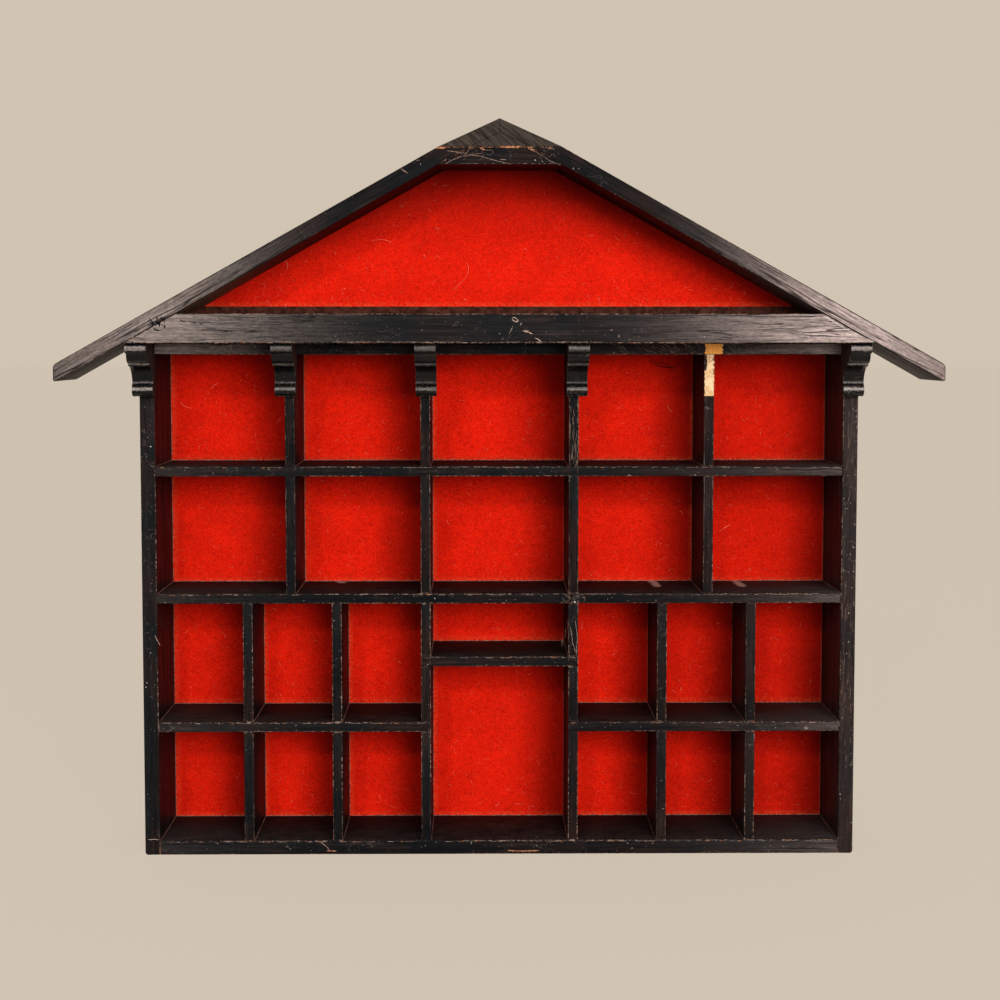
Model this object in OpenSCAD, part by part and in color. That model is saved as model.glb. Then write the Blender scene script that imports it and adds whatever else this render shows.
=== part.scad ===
// House-shaped display case: an open grid of small compartments lined with red felt,
// under a projecting gable with corbels. Units are millimetres.
// The box stands on Z = 0, +X is to the right and +Y is to the back.

/* [Box] */
// Overall width over the two side boards
box_w = 457; // [430:1:520]
// Depth of the side boards, front to back
box_depth = 76.2; // [64:0.1:100]
// Thickness of the side boards
side_t = 9.5; // [8:0.1:12]
// Thickness of the bottom board
bottom_t = 9; // [6:0.1:14]
// Thickness of the top board
top_t = 7.2; // [5:0.1:12]
// Radius worn onto the lower outer corners of the side boards
foot_r = 2; // [0.5:0.1:3]

/* [Rows of cells] */
// Thickness of the shelves
shelf_t = 6.3; // [5:0.1:9]
// Clear height of the bottom row
row_1_h = 71; // [55:0.1:90]
// Clear height of the second row
row_2_h = 76.8; // [66:0.1:95]
// Clear height of the third row
row_3_h = 75.3; // [60:0.1:95]
// Clear height of the top row
row_4_h = 71.1; // [55:0.1:95]
// Clear height of the small nook above the centre shelf
nook_h = 34.4; // [20:0.1:50]

/* [Columns of cells] */
// Thickness of the upright dividers
divider_t = 6.3; // [5:0.1:9]
// Clear width of the cells on the centre line
centre_cell_w = 88.3; // [70:0.1:98]
// Clear width of the upper cells beside the centre ones
upper_cell_w = 79.8; // [60:0.1:90]
// Clear width of the lower cells beside the centre ones
lower_cell_w = 50.7; // [42:0.1:55]

/* [Felt and back panels] */
// Thickness of the hardboard back panels
panel_t = 3.2; // [2.5:0.1:4.5]
// Thickness of the felt glued to them
felt_t = 1.2; // [0.8:0.1:2]
// How far the panels lie inside the rear edges of the boards
panel_inset = 1.8; // [1.5:0.1:3]
// Width of the rebates that hold the panels
rebate_w = 4.7; // [3.5:0.1:6]
// Height of the back panel's lower edge above the floor
panel_lift = 0.8; // [0:0.1:2]

/* [Gable] */
// Pitch of the roof in degrees
roof_pitch = 29.3; // [26:0.1:33]
// Thickness of the roof boards
roof_t = 9.5; // [8:0.1:12]
// Depth of the roof boards, front to back
roof_depth = 66.7; // [60:0.1:75]
// How far the gable stands forward of the box
gable_forward = 37; // [30:0.5:42]
// How far the eaves reach past the side boards
eave_reach = 47; // [30:0.5:70]
// How much is eased off the two corners of each eave
eave_ease = 1.2; // [0.4:0.1:2]
// Thickness of the board at the foot of the gable
gable_base_t = 18.2; // [14:0.1:24]
// How far that board's lower corners stand outside the side boards
gable_base_lip = 3.8; // [1:0.1:8]
// Drop of the clipped peak below the ridge
hip_drop = 21.2; // [14:0.1:28]
// Height of the ridge block under the mitre
ridge_block_h = 21.2; // [14:0.1:28]
// Depth of the ridge block, front to back
ridge_block_depth = 42; // [40:0.5:50]
// Height of the sill strip at the foot of the gable's felt
sill_h = 5.3; // [3:0.1:8]
// Depth of that strip
sill_depth = 5; // [3:0.1:8]

/* [Corbels] */
// Width of one corbel
corbel_w = 13; // [9:0.1:16]
// Height of one corbel
corbel_h = 33.5; // [30:0.1:40]
// How far the corbels' noses stay behind the face of the gable
corbel_setback = 1; // [0:0.1:3]
// Height of the slab at a corbel's top
slab_h = 6.5; // [5:0.1:8]
// Radius of the quarter round under the slab
ovolo_r = 6; // [4:0.1:7]
// How far the lip below the quarter round stands out from the box
lip_out = 23.5; // [20:0.1:25]
// Height of the lip
lip_h = 1.8; // [1:0.1:3]
// How far the fillet below the cove stands out from the box
fillet_out = 8.8; // [7:0.1:11]
// Height of that fillet
fillet_h = 1.2; // [0.8:0.1:2]
// Diameter of the bead at the foot
bead_d = 7.2; // [5:0.1:8]
// How far the left side board's corbel was glued off its place, to the right
side_left_drift = 0.5; // [-2:0.1:2]
// The same for the corbel of the left upper divider
outer_left_drift = -1.8; // [-2:0.1:2]
// The same for the corbel of the left tall divider
inner_left_drift = 0.8; // [-2:0.1:2]
// The same for the corbel of the right tall divider
inner_right_drift = 1.6; // [-2:0.1:2]
// The same for the right side board's corbel
side_right_drift = -1.8; // [-2:0.1:2]

/* [Fixings] */
// Clearance around each halving, edge and pin
fit_gap = 0.1; // [0.05:0.05:0.2]
// Diameter of the pins that hold the boards
brad_d = 1.5; // [1.2:0.1:2]
// Diameter of the heads of the pins in the back panels
brad_head_d = 3; // [2.5:0.1:4]
// Length of the pins through the boards
brad_len = 19; // [16:0.5:24]
// Length of the pins in the back panels
panel_brad_len = 12; // [9:0.5:14]
// Length of one sawtooth hanger
hanger_w = 42; // [34:0.5:50]
// Height of one sawtooth hanger
hanger_h = 6.4; // [5:0.1:7]
// Thickness of the hangers' sheet steel
hanger_t = 0.8; // [0.6:0.1:1]
// Length of the plain end on each side of a hanger's teeth
hanger_plain_end = 6; // [5:0.1:8]
// Distance between the middles of the hangers
hanger_spacing = 300; // [240:1:340]

/* [Hidden] */
$fn = 48;
PIN_FACES = 16;
EBONISED = "#1d1b1e";
FELT_RED = "#d3210e";
HARDBOARD = "#6b4a2f";
STEEL = "#a9a8a4";
RAW_WOOD = "#dca763";
past = 1;

// Depths. The origin lies under the middle of the whole case.
front_y = gable_forward - (gable_forward + box_depth) / 2;
rear_y = front_y + box_depth;
felt_y = rear_y - panel_inset - panel_t - felt_t;
panel_y = felt_y + felt_t;
halving_y = (front_y + felt_y) / 2;
roof_front_y = front_y - gable_forward;
roof_rear_y = roof_front_y + roof_depth;
gable_felt_y = roof_rear_y - panel_inset - panel_t - felt_t;
gable_panel_y = gable_felt_y + felt_t;

// Heights of the undersides of the boards
shelf_lower_z = bottom_t + row_1_h;
shelf_middle_z = shelf_lower_z + shelf_t + row_2_h;
shelf_centre_z = shelf_middle_z - nook_h - shelf_t;
shelf_upper_z = shelf_middle_z + shelf_t + row_3_h;
top_z = shelf_upper_z + shelf_t + row_4_h;
box_h = top_z + top_t;

// Centre lines of the uprights, out from the middle of the case
inner_x = box_w / 2 - side_t;
tall_x = (centre_cell_w + divider_t) / 2;
upper_x = tall_x + divider_t + upper_cell_w;
lower_in_x = tall_x + divider_t + lower_cell_w;
lower_out_x = lower_in_x + divider_t + lower_cell_w;

// Roof: its underside passes through the lower corners of the gable's base
slope = tan(roof_pitch);
roof_rise_t = roof_t / cos(roof_pitch);
rebate_rise = rebate_w / cos(roof_pitch);
base_half_w = box_w / 2 + gable_base_lip;
peak_under_z = box_h + base_half_w * slope;
peak_z = peak_under_z + roof_rise_t;
eave_x = box_w / 2 + eave_reach;
base_top_z = box_h + gable_base_t;
soffit_z = peak_under_z - ridge_block_h;
hip_z = peak_z - hip_drop;
function under_z(x) = peak_under_z - abs(x) * slope;
function under_x(z) = (peak_under_z - z) / slope;

// Corbels
corbel_out = gable_forward - corbel_setback;
corbel_z = box_h - corbel_h;
corbel_side_x = inner_x + corbel_w / 2;
film_t = 0.5;
nose_r = slab_h / 2;
ovolo_z = corbel_h - slab_h;
ovolo_proud = 1.2;
ovolo_out = lip_out + ovolo_proud;
lip_z = ovolo_z - ovolo_r - lip_h;
foot_h = 0.6;
bead_z = foot_h + bead_d / 2;
bead_set_in = 1.4;
bead_out = fillet_out - bead_set_in;
fillet_z = foot_h + bead_d;
cove_z = fillet_z + fillet_h;
cove_foot_in = 0.7;
cove_head_in = 1.5;
cove_start = fillet_out - cove_foot_in;
cove_end = lip_out - cove_head_in;
cove_run = cove_end - cove_start;
cove_drop = lip_z - cove_z;
cove_r = (cove_run * cove_run + cove_drop * cove_drop) / (2 * cove_drop);

// Pins: their places along the boards that they hold
brad_from_edge = 12;
brad_head_t = 0.7;
side_brad_y = [front_y + brad_from_edge, felt_y - brad_from_edge];
lower_brad_z = [bottom_t / 2, shelf_lower_z + shelf_t / 2, shelf_middle_z + shelf_t / 2];
side_brad_z = concat(lower_brad_z, [shelf_upper_z + shelf_t / 2, top_z + top_t / 2]);
rebate_mid_x = inner_x + rebate_w / 2;
panel_side_brads = 5;
panel_side_z = [for (i = [1:panel_side_brads]) box_h * (i - 0.5) / panel_side_brads];
panel_edge_x = [for (step = [-1:1]) step * box_w / 4];
roof_pin_from_corner = 19.2;
roof_pin_x = base_half_w - roof_pin_from_corner;
roof_pin_front_y = roof_front_y + brad_from_edge;
roof_pin_rear_y = gable_felt_y - brad_from_edge;
roof_pin_y = [roof_pin_front_y, (roof_pin_front_y + roof_pin_rear_y) / 2, roof_pin_rear_y];
peak_pin_x = ridge_block_h / slope / 3;
peak_pin_y = roof_front_y + ridge_block_depth - brad_from_edge / 2;
gable_edge_x = [for (step = [-3:2:3]) step * box_w / 10];
gable_slope_share = [0.22, 0.55];
gable_slope_x = [for (share = gable_slope_share) eave_x * share];
hanger_pin_x = (hanger_w - hanger_plain_end) / 2;
hanger_y = rear_y - panel_inset;
hanger_z = top_z + top_t / 2;
teeth = 11;
tooth_depth = 1.8;

// Shapes used by several pieces

// A board between two corners, given as ranges along X, Y and Z
module board(x, y, z) {
  translate([x[0], y[0], z[0]])
    cube([x[1] - x[0], y[1] - y[0], z[1] - z[0]]);
}

// An X-Z outline drawn out from y0 back to y1
module along_y(y0, y1) {
  translate([0, y1, 0])
    rotate([90, 0, 0])
      linear_extrude(y1 - y0)
        children();
}

// An outline of distance forward and height, drawn out along X about the middle
module along_x(width) {
  rotate([90, 0, -90])
    linear_extrude(width, center = true)
      children();
}

// A right-hand piece, mirrored where it belongs on the left
module on_side(side) {
  if (side < 0) {
    mirror([1, 0, 0])
      children();
  } else {
    children();
  }
}

// Fixings, drawn once for the pins and once, wider, for their bores

// A headless pin of the boards, from its tip at z = -brad_len up to z = 0, or its bore with a gap
module pin(gap) {
  translate([0, 0, -brad_len - gap])
    cylinder(h = brad_len + 2 * gap, d = brad_d + 2 * gap, $fn = PIN_FACES);
}

// Pins through the right side board into the ends of the boards at the heights in z_list
module side_pins(z_list, gap) {
  for (z = z_list)
    for (y = side_brad_y)
      translate([box_w / 2, y, z])
        rotate([0, 90, 0])
          pin(gap);
}

// One pin with a flat head, driven forward through a panel whose rear face is at y
module headed_pin(x, y, z, gap) {
  translate([x, y + brad_head_t + gap, z])
    rotate([90, 0, 0]) {
      cylinder(h = brad_head_t, d = brad_head_d + 2 * gap, $fn = PIN_FACES);
      cylinder(h = panel_brad_len + brad_head_t + 2 * gap, d = brad_d + 2 * gap, $fn = PIN_FACES);
    }
}

// Pins of the back panel, into the side boards
module panel_side_pins(gap) {
  for (z = panel_side_z)
    headed_pin(rebate_mid_x, panel_y + panel_t, z, gap);
}

// Pins of the back panel, into the bottom and the top board
module panel_edge_pins(gap) {
  for (x = panel_edge_x) {
    headed_pin(x, panel_y + panel_t, bottom_t / 2, gap);
    headed_pin(x, panel_y + panel_t, top_z + top_t / 2, gap);
  }
}

// Pins of the gable's panel, into the base board
module gable_edge_pins(gap) {
  for (x = gable_edge_x)
    headed_pin(x, gable_panel_y + panel_t, box_h + gable_base_t / 2, gap);
}

// Pins of the gable's panel, into the rebate of the right roof board
module gable_slope_pins(gap) {
  for (x = gable_slope_x)
    headed_pin(x, gable_panel_y + panel_t, under_z(x) + rebate_rise / 2, gap);
}

// Pins through the right roof board, square to it
module roof_pins(gap) {
  places = concat([for (y = roof_pin_y) [roof_pin_x, y]], [[peak_pin_x, peak_pin_y]]);
  for (place = places)
    translate([place[0], place[1], under_z(place[0]) + roof_rise_t])
      rotate([0, roof_pitch, 0])
        pin(gap);
}

// Pins that hold both hangers, through the panel into the top board
module hanger_nails(gap) {
  for (side = [-1, 1])
    for (end = [-1, 1])
      headed_pin(side * hanger_spacing / 2 + end * hanger_pin_x, hanger_y + hanger_t, hanger_z, gap);
}

// The box

// What is rounded off the lower outer corner of the right side board
module foot_waste() {
  along_y(front_y - past, rear_y + past)
    translate([box_w / 2 - foot_r, 0])
      difference() {
        translate([0, -past])
          square([foot_r + past, foot_r + past]);
        translate([0, foot_r])
          circle(foot_r);
      }
}

// The right side board, with its rear rebate and the bores for its pins
module side_board() {
  difference() {
    board([inner_x, box_w / 2], [front_y, rear_y], [0, box_h]);
    foot_waste();
    board([inner_x - past, inner_x + rebate_w], [felt_y, rear_y + past], [-past, box_h + past]);
    side_pins(side_brad_z, fit_gap);
    panel_side_pins(fit_gap);
  }
}

// A shelf slotted from the rear for the uprights at x_list, with bores at its pinned ends
module slotted_shelf(x, z, x_list, pinned) {
  difference() {
    board(x, [front_y, felt_y], [z, z + shelf_t]);
    for (upright = x_list)
      board(
        [upright - divider_t / 2 - fit_gap, upright + divider_t / 2 + fit_gap],
        [halving_y, felt_y + past],
        [z - past, z + shelf_t + past]
      );
    for (side = pinned)
      on_side(side)
        side_pins([z + shelf_t / 2], fit_gap);
  }
}

// An upright notched from the front for the shelves whose undersides are at z_list
module notched_upright(x, z, z_list) {
  difference() {
    board([x - divider_t / 2, x + divider_t / 2], [front_y, felt_y], z);
    for (shelf = z_list)
      board(
        [x - divider_t / 2 - past, x + divider_t / 2 + past],
        [front_y - past, halving_y + fit_gap],
        [shelf - fit_gap, shelf + shelf_t + fit_gap]
      );
  }
}

// The right lower shelf: its inner end laps the tall divider in the front half
module lower_shelf() {
  difference() {
    slotted_shelf([tall_x - divider_t / 2, inner_x], shelf_lower_z, [lower_in_x, lower_out_x], [1]);
    board(
      [tall_x - divider_t, tall_x + divider_t / 2 + fit_gap],
      [halving_y, felt_y + past],
      [shelf_lower_z - past, shelf_lower_z + shelf_t + past]
    );
  }
}

// The short shelf over the tall cell: both its ends lap the tall dividers in the front half
module centre_shelf() {
  reach = tall_x + divider_t / 2;
  difference() {
    board([-reach, reach], [front_y, felt_y], [shelf_centre_z, shelf_centre_z + shelf_t]);
    for (side = [-1, 1])
      on_side(side)
        board(
          [tall_x - divider_t / 2 - fit_gap, reach + past],
          [halving_y, felt_y + past],
          [shelf_centre_z - past, shelf_centre_z + shelf_t + past]
        );
  }
}

module tall_divider(side) {
  levels = [shelf_lower_z, shelf_centre_z, shelf_middle_z, shelf_upper_z];
  notched_upright(side * tall_x, [bottom_t, top_z], levels);
}

module upper_divider(side) {
  notched_upright(side * upper_x, [shelf_middle_z + shelf_t, top_z], [shelf_upper_z]);
}

module lower_divider(x) {
  notched_upright(x, [bottom_t, shelf_middle_z], [shelf_lower_z]);
}

// The bottom and top boards lie between the sides and end at the felt
module end_board(z) {
  difference() {
    board([-inner_x, inner_x], [front_y, felt_y], z);
    for (side = [-1, 1])
      on_side(side)
        side_pins([(z[0] + z[1]) / 2], fit_gap);
    panel_edge_pins(fit_gap);
    hanger_nails(fit_gap);
  }
}

// A sheet that fills the rear rebates of the box, from y0 back to y1
module box_sheet(y0, y1) {
  reach = inner_x + rebate_w - 3 * fit_gap;
  difference() {
    board([-reach, reach], [y0, y1], [panel_lift, box_h]);
    for (side = [-1, 1])
      on_side(side)
        panel_side_pins(fit_gap);
    panel_edge_pins(fit_gap);
    hanger_nails(fit_gap);
  }
}

// The gable

// The wedge that is cut off the front of the peak
module hip_cut() {
  above = peak_z + past;
  along_x(box_w)
    polygon([
      [past - roof_front_y, hip_z - past * slope],
      [past - roof_front_y, above],
      [-roof_front_y - (above - hip_z) / slope, above]
    ]);
}

// The right roof board: mitred at the ridge, cut plumb at the eave and eased there, rebated at the rear
module roof_board() {
  eased_x = eave_x - eave_ease;
  difference() {
    along_y(roof_front_y, roof_rear_y)
      polygon([
        [0, peak_under_z],
        [eased_x, under_z(eased_x)],
        [eave_x, under_z(eave_x) + eave_ease],
        [eave_x, under_z(eave_x) + roof_rise_t - eave_ease],
        [eased_x, under_z(eased_x) + roof_rise_t],
        [0, peak_z]
      ]);
    along_y(gable_felt_y, roof_rear_y + past)
      polygon([
        [-past, box_h],
        [base_half_w + rebate_rise / slope, box_h],
        [0, peak_under_z + rebate_rise],
        [-past, peak_under_z + rebate_rise]
      ]);
    hip_cut();
    roof_pins(fit_gap);
    gable_slope_pins(fit_gap);
  }
}

// A piece under the roof between two heights, its ends cut along the roof's underside
module under_roof(y0, y1, z0, z1) {
  along_y(y0, y1)
    polygon([
      [-under_x(z0), z0],
      [under_x(z0), z0],
      [under_x(z1), z1],
      [-under_x(z1), z1]
    ]);
}

module gable_base_board() {
  difference() {
    under_roof(roof_front_y, gable_panel_y, box_h, base_top_z);
    for (side = [-1, 1])
      on_side(side)
        roof_pins(fit_gap);
    gable_edge_pins(fit_gap);
  }
}

module ridge_wedge() {
  half_w = under_x(soffit_z);
  difference() {
    along_y(roof_front_y, roof_front_y + ridge_block_depth)
      polygon([[-half_w, soffit_z], [half_w, soffit_z], [0, peak_under_z]]);
    hip_cut();
    for (side = [-1, 1])
      on_side(side)
        roof_pins(fit_gap);
  }
}

// A sheet that fills the rear rebates of the roof above the height z0
module gable_sheet(y0, y1, z0) {
  peak = peak_under_z + rebate_rise - 3 * fit_gap;
  half_w = (peak - z0) / slope;
  difference() {
    along_y(y0, y1)
      polygon([[-half_w, z0], [half_w, z0], [0, peak]]);
    for (side = [-1, 1])
      on_side(side)
        gable_slope_pins(fit_gap);
    gable_edge_pins(fit_gap);
  }
}

// The corbels

// Side view of a corbel, forward along x and up along y: slab, quarter round, lip, cove and bead
module corbel_profile() {
  translate([0, ovolo_z])
    square([corbel_out - nose_r, slab_h]);
  translate([corbel_out - nose_r, corbel_h - nose_r])
    circle(nose_r);
  translate([0, lip_z + lip_h])
    square([ovolo_out, ovolo_r]);
  intersection() {
    translate([ovolo_out, ovolo_z])
      circle(ovolo_r);
    translate([0, lip_z + lip_h])
      square([corbel_out, ovolo_r + nose_r]);
  }
  translate([0, lip_z])
    square([lip_out, lip_h]);
  difference() {
    translate([0, cove_z])
      square([cove_end, cove_drop]);
    translate([cove_end, lip_z - cove_r])
      circle(cove_r, $fn = 96);
  }
  translate([0, fillet_z])
    square([fillet_out, fillet_h]);
  square([bead_out, foot_h + bead_d]);
  translate([bead_out, bead_z])
    circle(bead_d / 2);
}

module corbel(x) {
  translate([x, front_y, corbel_z])
    along_x(corbel_w)
      corbel_profile();
}

// What the lost corbel left behind: dried glue on the divider and bared wood on the top board
module scar() {
  half_w = divider_t / 2;
  glue_h = top_z - corbel_z;
  translate([upper_x, 0, corbel_z]) {
    along_y(front_y - film_t, front_y)
      polygon([
        [-half_w, 1],
        [-half_w / 3, 0],
        [half_w, 0.6],
        [half_w, glue_h],
        [-half_w * 0.6, glue_h],
        [-half_w, glue_h * 0.7]
      ]);
    along_y(front_y - film_t, front_y)
      polygon([
        [-half_w, glue_h],
        [corbel_w * 0.65, glue_h],
        [corbel_w * 0.7, corbel_h - 1],
        [-half_w * 0.8, corbel_h - 0.4]
      ]);
  }
}

// A strip of sheet steel with a toothed lower edge and a hole at each end
module sawtooth_hanger(side) {
  toothed_w = hanger_w - 2 * hanger_plain_end;
  pitch = toothed_w / teeth;
  low = -hanger_h / 2;
  teeth_points = [
    for (i = [0:teeth - 1])
      for (corner = [[0, 0], [pitch / 2, tooth_depth]])
        [i * pitch - toothed_w / 2 + corner[0], low + corner[1]]
  ];
  ends = [
    [toothed_w / 2, low],
    [hanger_w / 2, low + tooth_depth],
    [hanger_w / 2, -low],
    [-hanger_w / 2, -low],
    [-hanger_w / 2, low + tooth_depth]
  ];
  translate([side * hanger_spacing / 2, 0, hanger_z])
    along_y(hanger_y, hanger_y + hanger_t)
      difference() {
        polygon(concat(teeth_points, ends));
        for (end = [-1, 1])
          translate([end * hanger_pin_x, 0])
            circle(d = brad_d + 2 * fit_gap, $fn = PIN_FACES);
      }
}

// The separate pieces

module side_left() { color(EBONISED) on_side(-1) side_board(); }
module side_right() { color(EBONISED) on_side(1) side_board(); }
module bottom_board() { color(EBONISED) end_board([0, bottom_t]); }
module top_board() { color(EBONISED) end_board([top_z, box_h]); }

module shelf_upper() {
  uprights = [-upper_x, -tall_x, tall_x, upper_x];
  color(EBONISED)
    slotted_shelf([-inner_x, inner_x], shelf_upper_z, uprights, [-1, 1]);
}

module shelf_middle() {
  color(EBONISED)
    slotted_shelf([-inner_x, inner_x], shelf_middle_z, [-tall_x, tall_x], [-1, 1]);
}

module shelf_lower_left() { color(EBONISED) on_side(-1) lower_shelf(); }
module shelf_lower_right() { color(EBONISED) on_side(1) lower_shelf(); }
module shelf_centre() { color(EBONISED) centre_shelf(); }

module divider_upper_left() { color(EBONISED) upper_divider(-1); }
module divider_tall_left() { color(EBONISED) tall_divider(-1); }
module divider_tall_right() { color(EBONISED) tall_divider(1); }
module divider_upper_right() { color(EBONISED) upper_divider(1); }
module divider_lower_left_outer() { color(EBONISED) lower_divider(-lower_out_x); }
module divider_lower_left_inner() { color(EBONISED) lower_divider(-lower_in_x); }
module divider_lower_right_inner() { color(EBONISED) lower_divider(lower_in_x); }
module divider_lower_right_outer() { color(EBONISED) lower_divider(lower_out_x); }

module back_panel() { color(HARDBOARD) box_sheet(panel_y, panel_y + panel_t); }
module box_felt() { color(FELT_RED) box_sheet(felt_y, panel_y); }

module gable_base() { color(EBONISED) gable_base_board(); }
module roof_left() { color(EBONISED) on_side(-1) roof_board(); }
module roof_right() { color(EBONISED) on_side(1) roof_board(); }
module ridge_block() { color(EBONISED) ridge_wedge(); }

module gable_sill() {
  color(EBONISED)
    under_roof(gable_felt_y - sill_depth, gable_felt_y, base_top_z, base_top_z + sill_h);
}

module gable_back() {
  color(HARDBOARD)
    gable_sheet(gable_panel_y, gable_panel_y + panel_t, box_h + fit_gap);
}

module gable_felt() {
  color(FELT_RED)
    gable_sheet(gable_felt_y, gable_panel_y, base_top_z);
}

module corbel_side_left() { color(EBONISED) corbel(-corbel_side_x + side_left_drift); }
module corbel_outer_left() { color(EBONISED) corbel(-upper_x + outer_left_drift); }
module corbel_inner_left() { color(EBONISED) corbel(-tall_x + inner_left_drift); }
module corbel_inner_right() { color(EBONISED) corbel(tall_x + inner_right_drift); }
module corbel_side_right() { color(EBONISED) corbel(corbel_side_x + side_right_drift); }
module corbel_scar() { color(RAW_WOOD) scar(); }

module hanger_left() { color(STEEL) sawtooth_hanger(-1); }
module hanger_right() { color(STEEL) sawtooth_hanger(1); }
module hanger_pins() { color(STEEL) hanger_nails(0); }

module brads_side_left() { color(STEEL) on_side(-1) side_pins(side_brad_z, 0); }
module brads_side_right() { color(STEEL) on_side(1) side_pins(side_brad_z, 0); }

module brads_back_panel() {
  color(STEEL) {
    for (side = [-1, 1])
      on_side(side)
        panel_side_pins(0);
    panel_edge_pins(0);
  }
}

module brads_roof_left() { color(STEEL) on_side(-1) roof_pins(0); }
module brads_roof_right() { color(STEEL) on_side(1) roof_pins(0); }

module brads_gable_back() {
  color(STEEL) {
    for (side = [-1, 1])
      on_side(side)
        gable_slope_pins(0);
    gable_edge_pins(0);
  }
}

side_left();
side_right();
bottom_board();
top_board();
shelf_upper();
shelf_middle();
shelf_lower_left();
shelf_lower_right();
shelf_centre();
divider_upper_left();
divider_tall_left();
divider_tall_right();
divider_upper_right();
divider_lower_left_outer();
divider_lower_left_inner();
divider_lower_right_inner();
divider_lower_right_outer();
back_panel();
box_felt();
gable_base();
roof_left();
roof_right();
ridge_block();
gable_sill();
gable_back();
gable_felt();
corbel_side_left();
corbel_outer_left();
corbel_inner_left();
corbel_inner_right();
corbel_side_right();
corbel_scar();
hanger_left();
hanger_right();
hanger_pins();
brads_side_left();
brads_side_right();
brads_back_panel();
brads_roof_left();
brads_roof_right();
brads_gable_back();
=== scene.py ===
import math
import random

import bpy
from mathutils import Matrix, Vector, noise


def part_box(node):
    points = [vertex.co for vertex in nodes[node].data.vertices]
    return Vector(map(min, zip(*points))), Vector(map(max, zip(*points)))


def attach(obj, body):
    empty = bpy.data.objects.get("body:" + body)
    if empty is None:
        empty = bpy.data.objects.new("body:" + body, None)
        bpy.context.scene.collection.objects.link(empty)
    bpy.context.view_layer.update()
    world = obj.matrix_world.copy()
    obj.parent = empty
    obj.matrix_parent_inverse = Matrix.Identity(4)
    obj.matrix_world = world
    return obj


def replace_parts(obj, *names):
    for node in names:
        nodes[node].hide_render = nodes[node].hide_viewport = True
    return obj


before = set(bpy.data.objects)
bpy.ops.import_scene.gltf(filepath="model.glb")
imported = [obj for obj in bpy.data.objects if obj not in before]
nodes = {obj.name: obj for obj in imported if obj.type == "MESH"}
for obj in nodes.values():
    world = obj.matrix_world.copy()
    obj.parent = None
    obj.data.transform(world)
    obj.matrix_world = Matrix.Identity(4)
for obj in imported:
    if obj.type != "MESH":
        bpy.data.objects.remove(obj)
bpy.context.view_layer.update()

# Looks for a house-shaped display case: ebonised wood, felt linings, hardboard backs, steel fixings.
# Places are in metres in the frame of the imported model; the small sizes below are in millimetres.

MM = 0.001
scene = bpy.context.scene

# Places worked out from the frame

side_lo, side_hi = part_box("side_right")
felt_lo, felt_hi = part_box("box_felt")
gable_felt_lo, gable_felt_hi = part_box("gable_felt")
base_lo, base_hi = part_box("gable_base")
roof_lo, roof_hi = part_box("roof_right")
ridge_lo, ridge_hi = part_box("ridge_block")
sill_lo, sill_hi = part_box("gable_sill")
top_lo, top_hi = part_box("top_board")
middle_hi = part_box("shelf_middle")[1]
scar_lo, scar_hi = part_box("corbel_scar")

front_y = side_lo.y
box_top = side_hi.z
fascia_y = base_lo.y
slope = (ridge_lo.z - base_lo.z) / (base_hi.x - ridge_hi.x)
pitch = math.atan(slope)
peak_under_z = base_lo.z + base_hi.x * slope

# Colours, linear, as red, green and blue
BLUE_BLACK = (0.0046, 0.0053, 0.0066)
BROWN_BLACK = (0.0170, 0.0085, 0.0072)
JET = (0.0022, 0.0020, 0.0022)
DUST = (0.110, 0.095, 0.085)
DULL_BROWN = (0.046, 0.029, 0.024)
UNDERSIDE = (0.034, 0.018, 0.011)
BACKGROUND = (0.640, 0.550, 0.450)
STREAK = (0.085, 0.052, 0.043)
# Painted reflection on the peak's cut face
PEAK_REFLECTION_GREY = (0.056, 0.043, 0.034)
# Painted highlight on the corbels' crests
CREST_HIGHLIGHT = (0.330, 0.280, 0.255)
EAVE_TAN = (0.170, 0.095, 0.058)
# Rubbed-through wood at the left and right ends; the right one is paler partly as painted sheen of the
# light from the right
WORN_LEFT = (0.300, 0.240, 0.215)
WORN_RIGHT_AND_SHEEN = (0.520, 0.405, 0.375)
TAN_WOOD = (0.360, 0.200, 0.120)
ORANGE_WOOD = (0.330, 0.105, 0.045)
PALE_WOOD = (0.440, 0.340, 0.280)
BARE_WOOD = (1.000, 0.390, 0.070)
BARE_WOOD_DARK = (0.960, 0.420, 0.110)
SPECK = (0.500, 0.440, 0.370)
FELT = (0.880, 0.0135, 0.0020)
FELT_DARK = (0.600, 0.0065, 0.0010)
FELT_PALE = (0.950, 0.170, 0.060)
GLUE = (0.300, 0.190, 0.155)
OLD_GLUE = (1.000, 0.740, 0.450)
OLD_GLUE_BROWN = (0.740, 0.440, 0.210)
PIN_BROWN = (0.020, 0.018, 0.016)
PIN_GREY = (0.160, 0.150, 0.140)


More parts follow.
